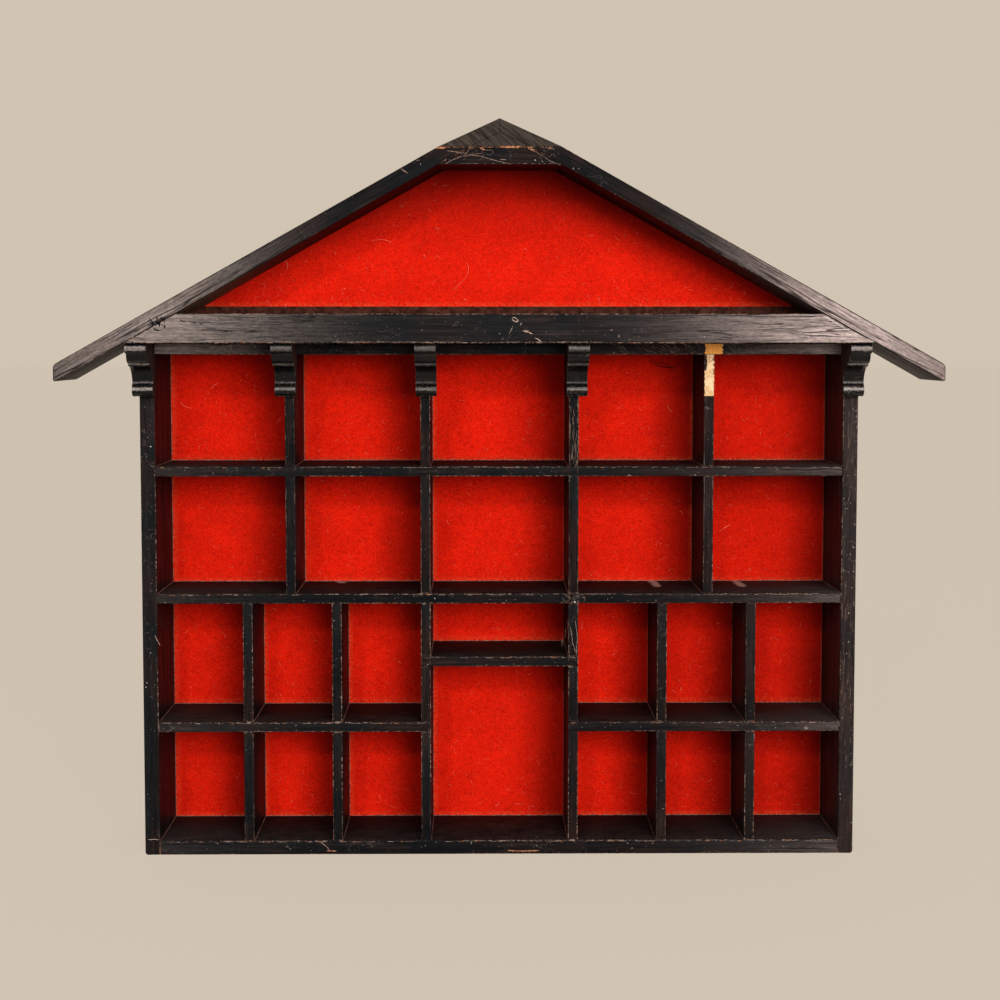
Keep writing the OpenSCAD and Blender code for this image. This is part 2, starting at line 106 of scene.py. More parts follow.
class Graph:
    """A node tree. Each method adds nodes and returns the output to use next."""

    def __init__(self, tree):
        self.tree = tree

    def add(self, kind, inputs=(), **settings):
        """A new node. Its inputs, each a value or an output, come in order or by name or number."""
        node = self.tree.nodes.new(kind)
        for key, value in settings.items():
            setattr(node, key, value)
        for key, value in inputs.items() if isinstance(inputs, dict) else enumerate(inputs):
            self.feed(node.inputs[key], value)
        return node

    def feed(self, socket, value):
        if isinstance(value, bpy.types.NodeSocket):
            self.tree.links.new(value, socket)
        elif socket.type == "RGBA":
            socket.default_value = (*value, 1)
        else:
            socket.default_value = value

    def math(self, operation, a, b=0.0, clamp=False):
        return self.add("ShaderNodeMath", (a, b), operation=operation, use_clamp=clamp).outputs[0]

    def plus(self, a, b, clamp=False):
        return self.math("ADD", a, b, clamp)

    def times(self, a, b, clamp=False):
        return self.math("MULTIPLY", a, b, clamp)

    def vector(self, operation, a, b=(0, 0, 0), output=0):
        return self.add("ShaderNodeVectorMath", (a, b), operation=operation).outputs[output]

    def axes(self, value):
        return self.add("ShaderNodeSeparateXYZ", [value]).outputs

    def above(self, value, limit):
        return self.add("FunctionNodeCompare", (value, limit)).outputs[0]

    def both(self, a, b):
        return self.add("FunctionNodeBooleanMath", (a, b)).outputs[0]

    def seen(self):
        """1 where the camera looks straight, by a mirror or through glass, and 0 for other light."""
        ray = self.add("ShaderNodeLightPath").outputs
        direct = self.math("MAXIMUM", ray["Is Camera Ray"], ray["Is Glossy Ray"])
        return self.math("MAXIMUM", direct, ray["Is Transmission Ray"])


class Paint(Graph):
    """One procedural material, whose colour is laid coat by coat. Its place, x and z are in millimetres."""

    def __init__(self, name):
        self.material = bpy.data.materials.new(name)
        self.material.use_nodes = True
        super().__init__(self.material.node_tree)
        self.shader = self.tree.nodes["Principled BSDF"]
        spot = self.add("ShaderNodeTexCoord").outputs["Object"]
        self.place = self.stretched(spot, (1 / MM, 1 / MM, 1 / MM))
        self.x, _, self.z = self.axes(self.place)
        self.colour = None

    def stretched(self, place, by):
        return self.vector("MULTIPLY", place, by)

    def turned(self, angle, stretch):
        """The place turned about Y, then stretched along the turned axes."""
        inputs = {"Vector": self.place, "Rotation": (0, angle, 0)}
        node = self.add("ShaderNodeVectorRotate", inputs, rotation_type="EULER_XYZ")
        return self.stretched(node.outputs[0], stretch)

    def noise(self, place, scale, detail=2.0, roughness=0.5, distortion=0.0):
        inputs = {"Vector": place, "Scale": scale, "Detail": detail}
        inputs.update({"Roughness": roughness, "Distortion": distortion})
        return self.add("ShaderNodeTexNoise", inputs).outputs[0]

    def step(self, value, low, high, to_low=0.0, to_high=1.0):
        inputs = (value, low, high, to_low, to_high)
        return self.add("ShaderNodeMapRange", inputs, interpolation_type="SMOOTHSTEP").outputs[0]

    def contour(self, value):
        """How far a noise is from its middle level, for lines that wander."""
        return self.math("ABSOLUTE", self.math("SUBTRACT", value, 0.5))

    def spots(self, scale, size, left_out, strength):
        """Round spots at scattered points, of which a share is left out."""
        cells = self.add("ShaderNodeTexVoronoi", {"Vector": self.place, "Scale": scale}).outputs
        chance = self.add("ShaderNodeSeparateColor", [cells["Color"]]).outputs[0]
        spot = self.step(cells["Distance"], size * 0.4, size, strength, 0)
        return self.times(spot, self.math("GREATER_THAN", chance, left_out))

    def facing(self, axis, low, high):
        """Where the surface faces along an axis: 0 below low, 1 above high."""
        normal = self.add("ShaderNodeNewGeometry").outputs["True Normal"]
        return self.step(self.vector("DOT_PRODUCT", normal, axis, 1), low, high)

    def near_edge(self, radius_mm):
        """1 near an arris, 0 on the flat."""
        bevel = self.add("ShaderNodeBevel", {"Radius": radius_mm * MM}, samples=4).outputs[0]
        flat = self.add("ShaderNodeNewGeometry").outputs["Normal"]
        return self.step(self.vector("DOT_PRODUCT", bevel, flat, 1), 0.82, 0.985, 1, 0)

    def carried(self, label):
        """A value that the mesh carries at its points."""
        return self.add("ShaderNodeAttribute", attribute_name=label).outputs["Fac"]

    def mix(self, amount, a, b):
        node = self.add("ShaderNodeMix", {0: amount, 6: a, 7: b}, data_type="RGBA")
        return node.outputs[2]

    def scaled(self, colour, amount):
        """A colour made lighter or darker by a factor."""
        node = self.add("ShaderNodeVectorMath", {0: colour, "Scale": amount}, operation="SCALE")
        return node.outputs[0]

    def vary(self, amount):
        """Makes the colour that is there lighter or darker."""
        self.colour = self.scaled(self.colour, amount)

    def lay(self, colour, *masks):
        """Lays a colour over the one that is there, by the product of the masks."""
        amount = masks[0]
        for mask in masks[1:]:
            amount = self.times(amount, mask)
        self.colour = self.mix(amount, self.colour, colour)

    def bump(self, height, distance_mm, strength):
        inputs = {"Height": height, "Distance": distance_mm * MM, "Strength": strength}
        self.feed(self.shader.inputs["Normal"], self.add("ShaderNodeBump", inputs).outputs[0])

    def finish(self, roughness, **constants):
        self.feed(self.shader.inputs["Base Color"], self.colour)
        self.feed(self.shader.inputs["Roughness"], roughness)
        for key, value in constants.items():
            self.feed(self.shader.inputs[key.replace("_", " ")], value)
        return self.material


# Wood

# How each board's grain turns about Y, and how its noise is stretched along it
GRAIN = {
    "X": (0.0, (0.035, 1, 1)),
    "Z": (0.0, (1, 1, 0.035)),
    "left": (pitch, (0.035, 1, 1)),
    "right": (-pitch, (0.035, 1, 1)),
}

# In x, where the tan stretch under the left eave sets in and where it fades
EAVE_ON = (-214, -200)
EAVE_OFF = (-185, -140)

# Dust lies on what is this far below the top of the box
DUST_DROP = (20, 15)


def stain(p, board, brown, haze_share, streaks=0.30):
    """Black stain that drifts from blue-black on the left to brown on the right, with a grey bloom."""
    patch = p.noise(p.place, 0.03, 4, 0.6)
    broad = p.noise(board, 0.16, 3, 0.6, 0.6)
    fine = p.noise(board, 1.3, 4, 0.65, 0.3)
    tone = p.plus(p.step(patch, 0.38, 0.66), p.step(p.x, -240, 200, -0.45, 0.35), clamp=True)
    tone = p.plus(p.times(tone, brown), p.step(broad, 0.50, 0.75, 0, 0.35), clamp=True)
    p.colour = p.mix(tone, BLUE_BLACK, BROWN_BLACK)
    p.vary(p.step(fine, 0.25, 0.80, 0.45, 1.7))
    streak = p.times(p.step(p.noise(board, 0.55, 4, 0.7, 0.2), 0.50, 0.72), streaks)
    p.lay(STREAK, streak, p.step(patch, 0.40, 0.60))
    p.lay(DUST, p.step(p.noise(p.place, 0.22, 5, 0.75), 0.44, 0.80), haze_share)
    return fine, broad


def rubbed_wood(p, board, fine, broad, worn):
    """Grey-brown softwood where the stain is rubbed through, with dark lines along its grain; paler at the
    right, partly as painted sheen.
    """
    tone = p.plus(p.times(fine, 0.6), p.times(broad, 0.4))
    rubbed = p.mix(p.step(p.x, -40, 40), WORN_LEFT, WORN_RIGHT_AND_SHEEN)
    rubbed = p.scaled(rubbed, p.step(tone, 0.32, 0.68, 0.70, 1.22))
    short = p.stretched(board, (8, 1, 1))
    rubbed = p.scaled(rubbed, p.step(p.noise(short, 1.1, 4, 0.75), 0.32, 0.68, 0.72, 1.24))
    keep = p.step(p.noise(short, 0.5, 5, 0.75), 0.30, 0.54, 0.62, 1.0)
    for scale, width, depth in ((0.11, 0.010, 0.85), (0.30, 0.030, 0.55)):
        line = p.step(p.contour(p.noise(board, scale, 3, 0.55, 0.4)), width * 0.3, width, depth, 0)
        keep = p.times(keep, p.math("SUBTRACT", 1.0, line))
    p.lay(rubbed, worn(p), keep)


def scratches(p, strength):
    """Fine curved scratches, as contour lines of a slow noise."""
    for scale, low in ((0.09, 0.56), (0.17, 0.60)):
        line = p.step(p.contour(p.noise(p.place, scale, 1, 0.5, 1.2)), 0.0015, 0.005, strength, 0)
        p.lay(SPECK, line, p.step(p.noise(p.place, 0.05, 2), low, low + 0.08))


def flakes(p):
    """Pale specks where the stain has flaked."""
    for spots in ((0.15, 0.060, 0.66, 0.75), (0.42, 0.13, 0.78, 0.38)):
        p.lay(SPECK, p.spots(*spots))


def bare(p):
    """The wood under the stain, from tan to orange to nearly white."""
    colour = p.mix(p.step(p.noise(p.place, 0.05, 2), 0.45, 0.62), TAN_WOOD, ORANGE_WOOD)
    return p.mix(p.step(p.noise(p.place, 0.35, 3), 0.42, 0.60), colour, PALE_WOOD)


def clipped_peak(p):
    """The peak's cut face, which tilts up toward the light, is laid grey as a painted reflection, broken by
    slanting brush marks.
    """
    brushed = p.noise(p.turned(0.75, (0.75, 0, 0.05)), 0.9, 4, 0.7)
    grey = p.scaled(PEAK_REFLECTION_GREY, p.step(brushed, 0.32, 0.68, 0.30, 1.75))
    p.lay(grey, p.facing((0, -1, 0), 0.3, 0.45), p.facing((0, 0, 1), 0.5, 0.8))


def undersides(p):
    """What faces down is darkened to half as painted shade, and is browner toward the eaves and tan under
    the left one.
    """
    below = p.facing((0, 0, -1), 0.3, 0.6)
    # Painted shade on what faces down
    p.lay(p.scaled(p.colour, 0.5), below)
    p.lay(UNDERSIDE, below, p.step(p.math("ABSOLUTE", p.x), 70, 190, 0.1, 0.6))
    p.lay(EAVE_TAN, below, p.step(p.x, *EAVE_ON), p.step(p.x, *EAVE_OFF, 0.85, 0))


def dusty_tops(p):
    """What faces up inside the box holds dust."""
    full, none = (box_top / MM - drop for drop in DUST_DROP)
    patchy = p.step(p.noise(p.place, 0.10, 5, 0.7), 0.36, 0.62, 0.10, 0.42)
    p.lay(DULL_BROWN, p.facing((0, 0, 1), 0.5, 0.8), p.step(p.z, full, none, 1, 0), patchy)


def ebony(name, grain, worn=None, shine=0.46, level=0.045, brown=0.5, haze=0.03, dark_edge=False):
    """Black stain over softwood. worn(paint) gives the share, from 0 to 1, that is rubbed through."""
    p = Paint(name)
    board = p.turned(*GRAIN[grain])
    fine, broad = stain(p, board, brown, haze)
    if worn:
        rubbed_wood(p, board, fine, broad, worn)
    scratches(p, 0.22)
    flakes(p)
    clipped_peak(p)
    undersides(p)
    dusty_tops(p)

    ragged = p.noise(p.place, 0.45, 5, 0.75)
    near = p.near_edge(1.1)
    if dark_edge:
        p.lay(JET, near, p.step(ragged, 0.36, 0.50, 0.25, 0.92))
    p.lay(bare(p), near, p.step(ragged, 0.61, 0.67, 0, 0.35 if dark_edge else 0.60))

    pits = p.noise(p.stretched(board, (8, 1, 1)), 0.9, 4, 0.7)
    p.bump(p.plus(fine, p.plus(pits, ragged)), 0.20, 0.6)
    dull = p.step(p.noise(board, 0.35, 3, 0.6), 0.3, 0.7, shine - 0.07, shine + 0.13)
    dull = p.math("MAXIMUM", dull, p.times(p.facing((0, 0, 1), 0.5, 0.7), 0.72))
    return p.finish(dull, Specular_IOR_Level=level)


def ebony_edge(name, amount, spread):
    """The arrises: stain that is worn through along broken stretches."""
    p = Paint(name)
    stain(p, p.stretched(p.place, (0.5, 0.5, 0.5)), 0.5, 0.05)
    stretch = p.step(p.noise(p.place, 0.020, 4, 0.65), 0.52 - spread, 0.62, 0.04, 1.0)
    p.lay(bare(p), stretch, p.step(p.noise(p.place, 0.5, 5, 0.75), 0.46, 0.58), amount)
    return p.finish(0.5, Specular_IOR_Level=0.07)


# The crests of a corbel's moulding that get a painted highlight: how far below its top each starts and
# ends, and how bright it is
CRESTS = [(1.9, 4.7, 0.75), (11.5, 13.4, 0.75), (24.2, 25.2, 0.45), (27.7, 29.8, 1.0)]


def painted_crest_highlights(p):
    """A painted highlight along the crests of the moulding, most of all on the two outer corbels."""
    wobble = p.noise(p.stretched(p.place, (0.5, 1, 2)), 0.8, 4, 0.7)
    drop = p.plus(p.math("SUBTRACT", top_hi.z / MM, p.z), p.step(wobble, 0.3, 0.7, -0.5, 0.5))
    shine = 0.0
    for start, end, bright in CRESTS:
        band = p.times(p.step(drop, start - 0.4, start + 0.4), p.step(drop, end - 0.4, end + 0.4, 1, 0))
        shine = p.math("MAXIMUM", shine, p.times(band, bright))
    broken = p.step(p.noise(p.stretched(p.place, (0.6, 1, 1)), 1.1, 4, 0.7), 0.34, 0.60, 0.35, 1.0)
    outer = p.step(p.math("ABSOLUTE", p.x), 140, 215, 0.38, 1.0)
    return p.times(p.times(shine, broken), outer)


def corbel_black(name):
    """Thick glossy stain on the mouldings, with fine lines across, painted highlights on the crests, and
    duller sides laid a paler brown as painted light.
    """
    p = Paint(name)
    board = p.turned(0, (0.04, 1, 1))
    stain(p, board, 0.35, 0.02, 0.5)
    p.vary(0.6)
    # Painted light: the side faces are laid a patchy paler brown
    sides = p.math("MAXIMUM", p.facing((1, 0, 0), 0.7, 0.9), p.facing((-1, 0, 0), 0.7, 0.9))
    patchy_side_light = p.step(p.noise(p.place, 0.45, 5, 0.7), 0.35, 0.7, 0.15, 1.3)
    p.lay(p.scaled(DULL_BROWN, patchy_side_light), sides, 0.85)
    scratches(p, 0.35)
    flakes(p)
    ragged = p.noise(p.place, 0.6, 5, 0.75)
    p.lay(PALE_WOOD, p.near_edge(0.7), p.step(ragged, 0.52, 0.60, 0, 0.5))
    # Painted highlight on the crests that face forward
    p.lay(CREST_HIGHLIGHT, painted_crest_highlights(p), p.facing((0, -1, 0), 0.5, 0.75))
    p.bump(p.plus(p.noise(board, 2.0, 3, 0.6), p.times(ragged, 0.8)), 0.10, 0.6)
    dull = p.step(p.noise(p.stretched(p.place, (0.4, 1, 1)), 0.6, 4, 0.7), 0.40, 0.62, 0.10, 0.30)
    return p.finish(p.math("MAXIMUM", dull, p.times(sides, 0.85)), Specular_IOR_Level=0.19)


def toward_ends(start_mm, full_mm, left=1.0, right=1.0, power=2.3, tip_mm=None):
    """Wear that grows from start_mm to full_mm out from the middle, by its own share on each side."""
    def share(p):
        far = p.math("ABSOLUTE", p.x)
        span = p.math("DIVIDE", p.math("SUBTRACT", far, start_mm), full_mm - start_mm, clamp=True)
        grown = p.math("POWER", span, power)
        if tip_mm:
            grown = p.times(grown, p.step(far, full_mm + 8, tip_mm, 1, 0.6))
        return p.times(grown, p.step(p.x, -1, 1, left, right))
    return share


# Felt

def felt(name):
    """Pressed wool: short fibres in every direction, darker and paler by turns, and a frayed rim."""
    p = Paint(name)
    fibres = 0.0
    for turn in (0.2, 0.9, 1.6, 2.3, 3.0):
        strand = p.noise(p.turned(turn, (0.25, 1, 1.3)), 0.85, 3, 0.65, 0.5)
        fibres = p.math("MAXIMUM", fibres, strand)
    grit = p.noise(p.place, 0.9, 3, 0.7)
    p.colour = p.mix(p.step(fibres, 0.46, 0.66), FELT_DARK, FELT)
    p.vary(p.step(p.noise(p.place, 0.045, 4, 0.6), 0.3, 0.7, 0.92, 1.08))
    p.vary(p.step(grit, 0.32, 0.68, 0.88, 1.12))
    pale = p.times(p.step(fibres, 0.66, 0.82), p.step(grit, 0.50, 0.66, 0, 0.35))
    for spots in ((0.42, 0.13, 0.62, 0.60), (0.95, 0.22, 0.60, 0.40)):
        pale = p.math("MAXIMUM", pale, p.spots(*spots))
    p.lay(FELT_PALE, pale)
    # Painted shade under the roof: the gable felt darkens toward its top
    p.vary(p.step(p.z, sill_hi.z / MM + 20, ridge_lo.z / MM + 8, 1.0, 0.42))
    # Painted shade that the lining meshes carry, in the cells and along the gable's slopes
    p.vary(p.carried("shade"))
    p.lay(FELT_PALE, p.carried("rim"), p.step(p.noise(p.place, 0.6, 3, 0.7), 0.35, 0.7), 0.40)
    p.bump(p.plus(fibres, p.times(grit, 0.4)), 0.25, 0.5)
    sheen = {"Sheen_Weight": 0.10, "Sheen_Roughness": 0.5, "Sheen_Tint": (1.0, 0.30, 0.20)}
    return p.finish(0.92, Specular_IOR_Level=0.08, **sheen)


# Other materials

def mottled(name, dark, pale, scale, shine, relief_mm=0.05, level=0.12, **constants):
    """A surface that drifts between two colours."""
    p = Paint(name)
    drift = p.noise(p.place, scale, 5, 0.65, 0.3)
    fine = p.noise(p.place, scale * 6, 3, 0.6)
    p.colour = p.mix(p.step(drift, 0.35, 0.65), dark, pale)
    p.vary(p.step(fine, 0.3, 0.7, 0.8, 1.2))
    p.bump(p.plus(drift, fine), relief_mm, 0.6)
    dull = p.step(fine, 0.3, 0.7, shine - 0.08, shine + 0.08)
    return p.finish(dull, Specular_IOR_Level=level, **constants)


# Meshes that are made here

class Shape:
    """Collects the vertices and faces of one piece, and draws its random numbers."""

    def __init__(self, seed=0):
        self.points = []
        self.faces = []
        self.rng = random.Random(seed)

    def ring_strip(self, rings):
        """Joins rings of equally many points into one closed skin."""
        first = len(self.points)
        count = len(rings[0])
        for ring in rings:
            self.points.extend(ring)
        for i in range(len(rings) - 1):
            for j in range(count):
                a = first + i * count + j
                b = first + i * count + (j + 1) % count
                self.faces.append((a, b, b + count, a + count))
        self.faces.append(tuple(range(first + count - 1, first - 1, -1)))
        last = first + (len(rings) - 1) * count
        self.faces.append(tuple(range(last, last + count)))

    def build(self, name, material):
        """Makes the piece, on the one body that the case has."""
        mesh = bpy.data.meshes.new(name)
        mesh.from_pydata([tuple(point) for point in self.points], [], self.faces)
        mesh.validate()
        mesh.materials.append(material)
        piece = bpy.data.objects.new(name, mesh)
        scene.collection.objects.link(piece)
        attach(piece, "root")
        return piece


# The cells, as (x from, x to, z from, z to)

def find_cells():
    tall_left, tall_right = "divider_tall_left", "divider_tall_right"
    wide = ["side_left", "divider_upper_left", tall_left, tall_right, "divider_upper_right", "side_right"]
    left = ["side_left", "divider_lower_left_outer", "divider_lower_left_inner", tall_left]
    right = [tall_right, "divider_lower_right_inner", "divider_lower_right_outer", "side_right"]
    centre = [tall_left, tall_right]
    rows = [
        (wide, "shelf_upper", "top_board"),
        (wide, "shelf_middle", "shelf_upper"),
        (left, "shelf_lower_left", "shelf_middle"),
        (left, "bottom_board", "shelf_lower_left"),
        (right, "shelf_lower_right", "shelf_middle"),
        (right, "bottom_board", "shelf_lower_right"),
        (centre, "shelf_centre", "shelf_middle"),
        (centre, "bottom_board", "shelf_centre"),
    ]
    found = []
    for uprights, below, above in rows:
        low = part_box(below)[1].z
        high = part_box(above)[0].z
        for a, b in zip(uprights, uprights[1:]):
            found.append((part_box(a)[1].x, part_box(b)[0].x, low, high))
    return found


cells = find_cells()


FELT_RISE = 0.35
FELT_STEP = 3.0
FELT_EDGE = 4.0
# How wide the band of painted shade by each cell's right wall is at most, in millimetres
PAINTED_SHADE_BAND = 50

# Painted shade on the felt: how much darker it is right in each cell, at the case's right and left, and low
# on its right
CELL_SHADE = 0.34
RIGHT_SHADE = 0.17
LEFT_SHADE = 0.05
CORNER_SHADE = 0.14

# The same painted shade along the gable's slopes, each with how far it reaches in
GABLE_RIGHT = (0.40, 75)
GABLE_LEFT = (0.24, 55)

# The share of the way up where the gable felt's top row stops, so that it keeps a width
TOP_ROW = 0.995


def inside_by(x, z):
    """How far a point of the box's felt lies inside its cell, how far from the left and the floor,
    and from the right as a share of the band of painted shade there."""
    for x0, x1, z0, z1 in cells:
        if x0 <= x <= x1 and z0 <= z <= z1:
            band = min(PAINTED_SHADE_BAND * MM, 0.60 * (x1 - x0))
            return min(x - x0, x1 - x, z - z0, z1 - z), min(x - x0, z - z0), (x1 - x) / band
    return 0.0, 0.0, 0.0


def smooth(value):
    value = min(max(value, 0.0), 1.0)
    return value * value * (3 - 2 * value)


def ramp(distance, full_mm, start_mm=0):
    """0 up to start_mm and 1 from full_mm on, for a distance in metres."""
    return smooth((distance - start_mm * MM) / ((full_mm - start_mm) * MM))


def felt_slab(name, width, height, place, back_y, material):
    """A closed slab of felt: a front by place(share of the width, share of the height), and a flat back."""
    columns, rows = (round(length / (FELT_STEP * MM)) + 1 for length in (width, height))
    shape = Shape()
    rims = []
    shades = []
    for j in range(rows):
        for i in range(columns):
            point, rim, shade = place(i / (columns - 1), j / (rows - 1))
            shape.points.append(point)
            rims.append(rim)
            shades.append(shade)
    for j in range(rows - 1):
        for i in range(columns - 1):
            a = j * columns + i
            shape.faces.append((a, a + 1, a + 1 + columns, a + columns))
    outline = list(range(columns))
    outline += [j * columns + columns - 1 for j in range(1, rows)]
    outline += [(rows - 1) * columns + i for i in range(columns - 2, -1, -1)]
    outline += [j * columns for j in range(rows - 2, 0, -1)]
    first = len(shape.points)
    for corner in outline:
        x, _, z = shape.points[corner]
        shape.points.append((x, back_y, z))
        rims.append(1.0)
        shades.append(1.0)
    for k, corner in enumerate(outline):
        after = (k + 1) % len(outline)
        shape.faces.append((corner, first + k, first + after, outline[after]))
    shape.faces.append(tuple(range(first + len(outline) - 1, first - 1, -1)))
    piece = shape.build(name, material)
    for label, values in (("rim", rims), ("shade", shades)):
        attribute = piece.data.attributes.new(label, "FLOAT", "POINT")
        attribute.data.foreach_set("value", values)
    for face in piece.data.polygons:
        face.use_smooth = len(face.vertices) == 4
    return piece


def box_lining(material):
    width = felt_hi.x - felt_lo.x
    height = felt_hi.z - felt_lo.z

    def place(along, up):
        x = felt_lo.x + width * along
        z = felt_lo.z + height * up
        inside, from_corner, from_right = inside_by(x, z)
        swell = noise.noise((x * 60, 3.0, z * 60)) * 0.25 + 0.75
        rise = FELT_RISE * MM * ramp(inside, FELT_EDGE) * swell
        # Painted shade: darker by the right wall of each cell, toward the case's ends and low on its right
        shade = 1 - CELL_SHADE * (1 - smooth(from_right))
        shade *= 1 - RIGHT_SHADE * ramp(x, 200, 20) - LEFT_SHADE * ramp(-x, 210, 130)
        shade *= 1 - CORNER_SHADE * ramp(x, 180, 60) * ramp(middle_hi.z - z, 60)
        return (x, felt_lo.y - rise, z), 1 - ramp(from_corner, FELT_EDGE), shade

    piece = felt_slab("box_lining", width, height, place, felt_hi.y, material)
    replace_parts(piece, "box_felt")
    return piece


def gable_lining(material):
    half = gable_felt_hi.x
    low = gable_felt_lo.z
    height = gable_felt_hi.z - low

    def place(along, up):
        up = min(up, TOP_ROW)
        z = low + height * up
        x = half * (1 - up) * (2 * along - 1)
        below = (peak_under_z - slope * abs(x) - z) * math.cos(pitch)
        inside = max(0.0, min(below, z - sill_hi.z))
        swell = noise.noise((x * 45, 9.0, z * 45)) * 0.3 + 0.7
        rise = FELT_RISE * MM * ramp(inside, FELT_EDGE) * swell
        # Painted shade: darker near the gable's slopes, most on the right
        across = (peak_under_z - z) / slope - abs(x)
        dark, reach_mm = GABLE_RIGHT if x > 0 else GABLE_LEFT
        shade = 1 - dark * (1 - ramp(across, reach_mm))
        return (x, gable_felt_lo.y - rise, z), 1 - ramp(z - sill_hi.z, FELT_EDGE), shade

    piece = felt_slab("gable_lining", 2 * half, height, place, gable_felt_hi.y, material)
    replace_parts(piece, "gable_felt")
    return piece


# Lint and glue

def hair(shape, points, thickness_mm):
    """A thin strand along the points, tapering at both ends."""
    rings = []
    last = len(points) - 1
    for k, point in enumerate(points):
        ahead = points[min(k + 1, last)] - points[max(k - 1, 0)]
        ahead.normalize()
        side = ahead.cross(Vector((0, 1, 0)))
        side.normalize()
        up = side.cross(ahead)
        size = thickness_mm * MM * (0.35 + 0.65 * math.sin(math.pi * (k + 0.5) / (last + 1)))
        rings.append([
            point + side * size * math.cos(angle) + up * size * math.sin(angle)
            for angle in (0.0, 2.1, 4.2)
        ])
    shape.ring_strip(rings)


LINT_LENGTH = (1.5, 5.5)
LINT_THICKNESS = (0.03, 0.055)
LINT_SPACE = 1.7e-4    # square metres of felt for each bit in the box
GABLE_LINT = 230


def fluff(shape, x, y, z):
    """A curled bit lying on felt that faces forward at y."""
    rng = shape.rng
    length = rng.uniform(*LINT_LENGTH)
    thickness_mm = rng.uniform(*LINT_THICKNESS)
    heading = rng.uniform(0, math.tau)
    curl = rng.uniform(-0.55, 0.55)
    count = 7
    point = Vector((x, y, z))
    points = []
    for k in range(count):
        points.append(point.copy())
        heading += curl + rng.uniform(-0.12, 0.12)
        point += Vector((math.cos(heading), 0, math.sin(heading))) * length * MM / count
        point.y = y - abs(math.sin(k * 0.9)) * 0.10 * MM
    hair(shape, points, thickness_mm)


def lint(shape):
    rng = shape.rng
    lift = (FELT_RISE + 0.10) * MM
    edge = 6 * MM
    for x0, x1, z0, z1 in cells:
        for _ in range(round((x1 - x0) * (z1 - z0) / LINT_SPACE)):
            x = rng.uniform(x0 + edge, x1 - edge)
            z = z0 + edge + (z1 - z0 - 2 * edge) * rng.random() ** 1.5
            fluff(shape, x, felt_lo.y - lift, z)
    for _ in range(GABLE_LINT):
        x = rng.uniform(-gable_felt_hi.x, gable_felt_hi.x)
        top = min(peak_under_z - slope * abs(x), ridge_lo.z) - edge
        z = sill_hi.z + 2 * MM + (top - sill_hi.z) * rng.random() ** 1.8
        if top > sill_hi.z + 2 * edge:
            fluff(shape, x, gable_felt_lo.y - lift, z)


# Hairs that can be told one by one: which felt, then points as (x, z) in millimetres
PALE_HAIRS = [
    ("gable", [(-20.7, 380.8), (-19.1, 376.7), (-21.8, 370.6), (-26.9, 366.1), (-30.0, 363.4)]),
    ("gable", [(-138.0, 382.8), (-135.6, 379.8), (-136.5, 376.7)]),
    ("gable", [(-82.4, 395.1), (-74.2, 396.2), (-68.0, 393.1)]),
    ("box", [(-213.2, 290.9), (-210.2, 287.1), (-205.7, 285.9)]),
    ("box", [(-192.4, 298.4), (-189.6, 301.8), (-186.0, 303.0)]),
    ("box", [(148.8, 202.7), (153.7, 206.3), (156.1, 207.5)]),
]
DARK_HAIRS = [
    ("box", [(100.8, 317.7), (106.9, 314.1), (115.3, 312.4), (120.9, 314.8)]),
    ("box", [(104.5, 316.0), (110.5, 316.5), (117.8, 311.2)]),
]


def loose_hairs(name, hairs, thickness_mm, material):
    shape = Shape()
    for felt_name, points in hairs:
        y = (gable_felt_lo.y if felt_name == "gable" else felt_lo.y) - (FELT_RISE + 0.1) * MM
        points = [Vector((x * MM, y, z * MM)) for x, z in points]
        path = [a.lerp(b, t) for a, b in zip(points, points[1:]) for t in (0, 0.33, 0.67)]
        path.append(points[-1])
        for _ in range(2):
            inner = [(a + b * 2 + c) / 4 for a, b, c in zip(path, path[1:], path[2:])]
            path = [path[0]] + inner + [path[-1]]
        hair(shape, path, thickness_mm)
    return shape.build(name, material)


def fillet(shape, start, end, side_a, side_b, width_mm):
    """A ragged bead of glue from start to end, in the corner of faces that leave along the two sides."""
    count = max(3, round((end - start).length / (2.5 * MM)))
    rings = []
    for k in range(count + 1):
        corner = start.lerp(end, k / count)
        size = width_mm * MM * shape.rng.uniform(0.35, 1.1)
        rings.append([corner, corner + side_a * size, corner + side_b * size])
    shape.ring_strip(rings)


def glue_lines(shape):
    """Dried glue round each felt and along the corners of each cell's floor."""
    right, up, forward = Vector((1, 0, 0)), Vector((0, 0, 1)), Vector((0, -1, 0))
    back = felt_lo.y
    for x0, x1, z0, z1 in cells:
        for x, inward, width in ((x0, right, 0.40), (x1, -right, 0.22)):
            foot = Vector((x, back, z0))
            fillet(shape, foot, Vector((x, front_y + 2 * MM, z0)), inward, up, 0.42)
            fillet(shape, foot, Vector((x, back, z1)), inward, forward, width)
        fillet(shape, Vector((x0, back, z0)), Vector((x1, back, z0)), up, forward, 0.5)


# Marks: scratches, chips and specks as thin slivers on a face. Their places are in millimetres.

RISE = 0.03
SINK = 0.05


def draw(pattern, seed, material):
    """Builds the piece that a function draws, under that function's name."""
    shape = Shape(seed)
    pattern(shape)
    shape.build(pattern.__name__, material)


def on_front(y):
    """A face that looks forward at y, with places given as (x, z)."""
    return lambda a, b: Vector((a * MM, y, b * MM)), Vector((0, -1, 0))


def on_top(z):
    """A face that looks up at z, with places given as (x, y)."""
    return lambda a, b: Vector((a * MM, b * MM, z)), Vector((0, 0, 1))


gable = on_front(fascia_y)
box = on_front(front_y)


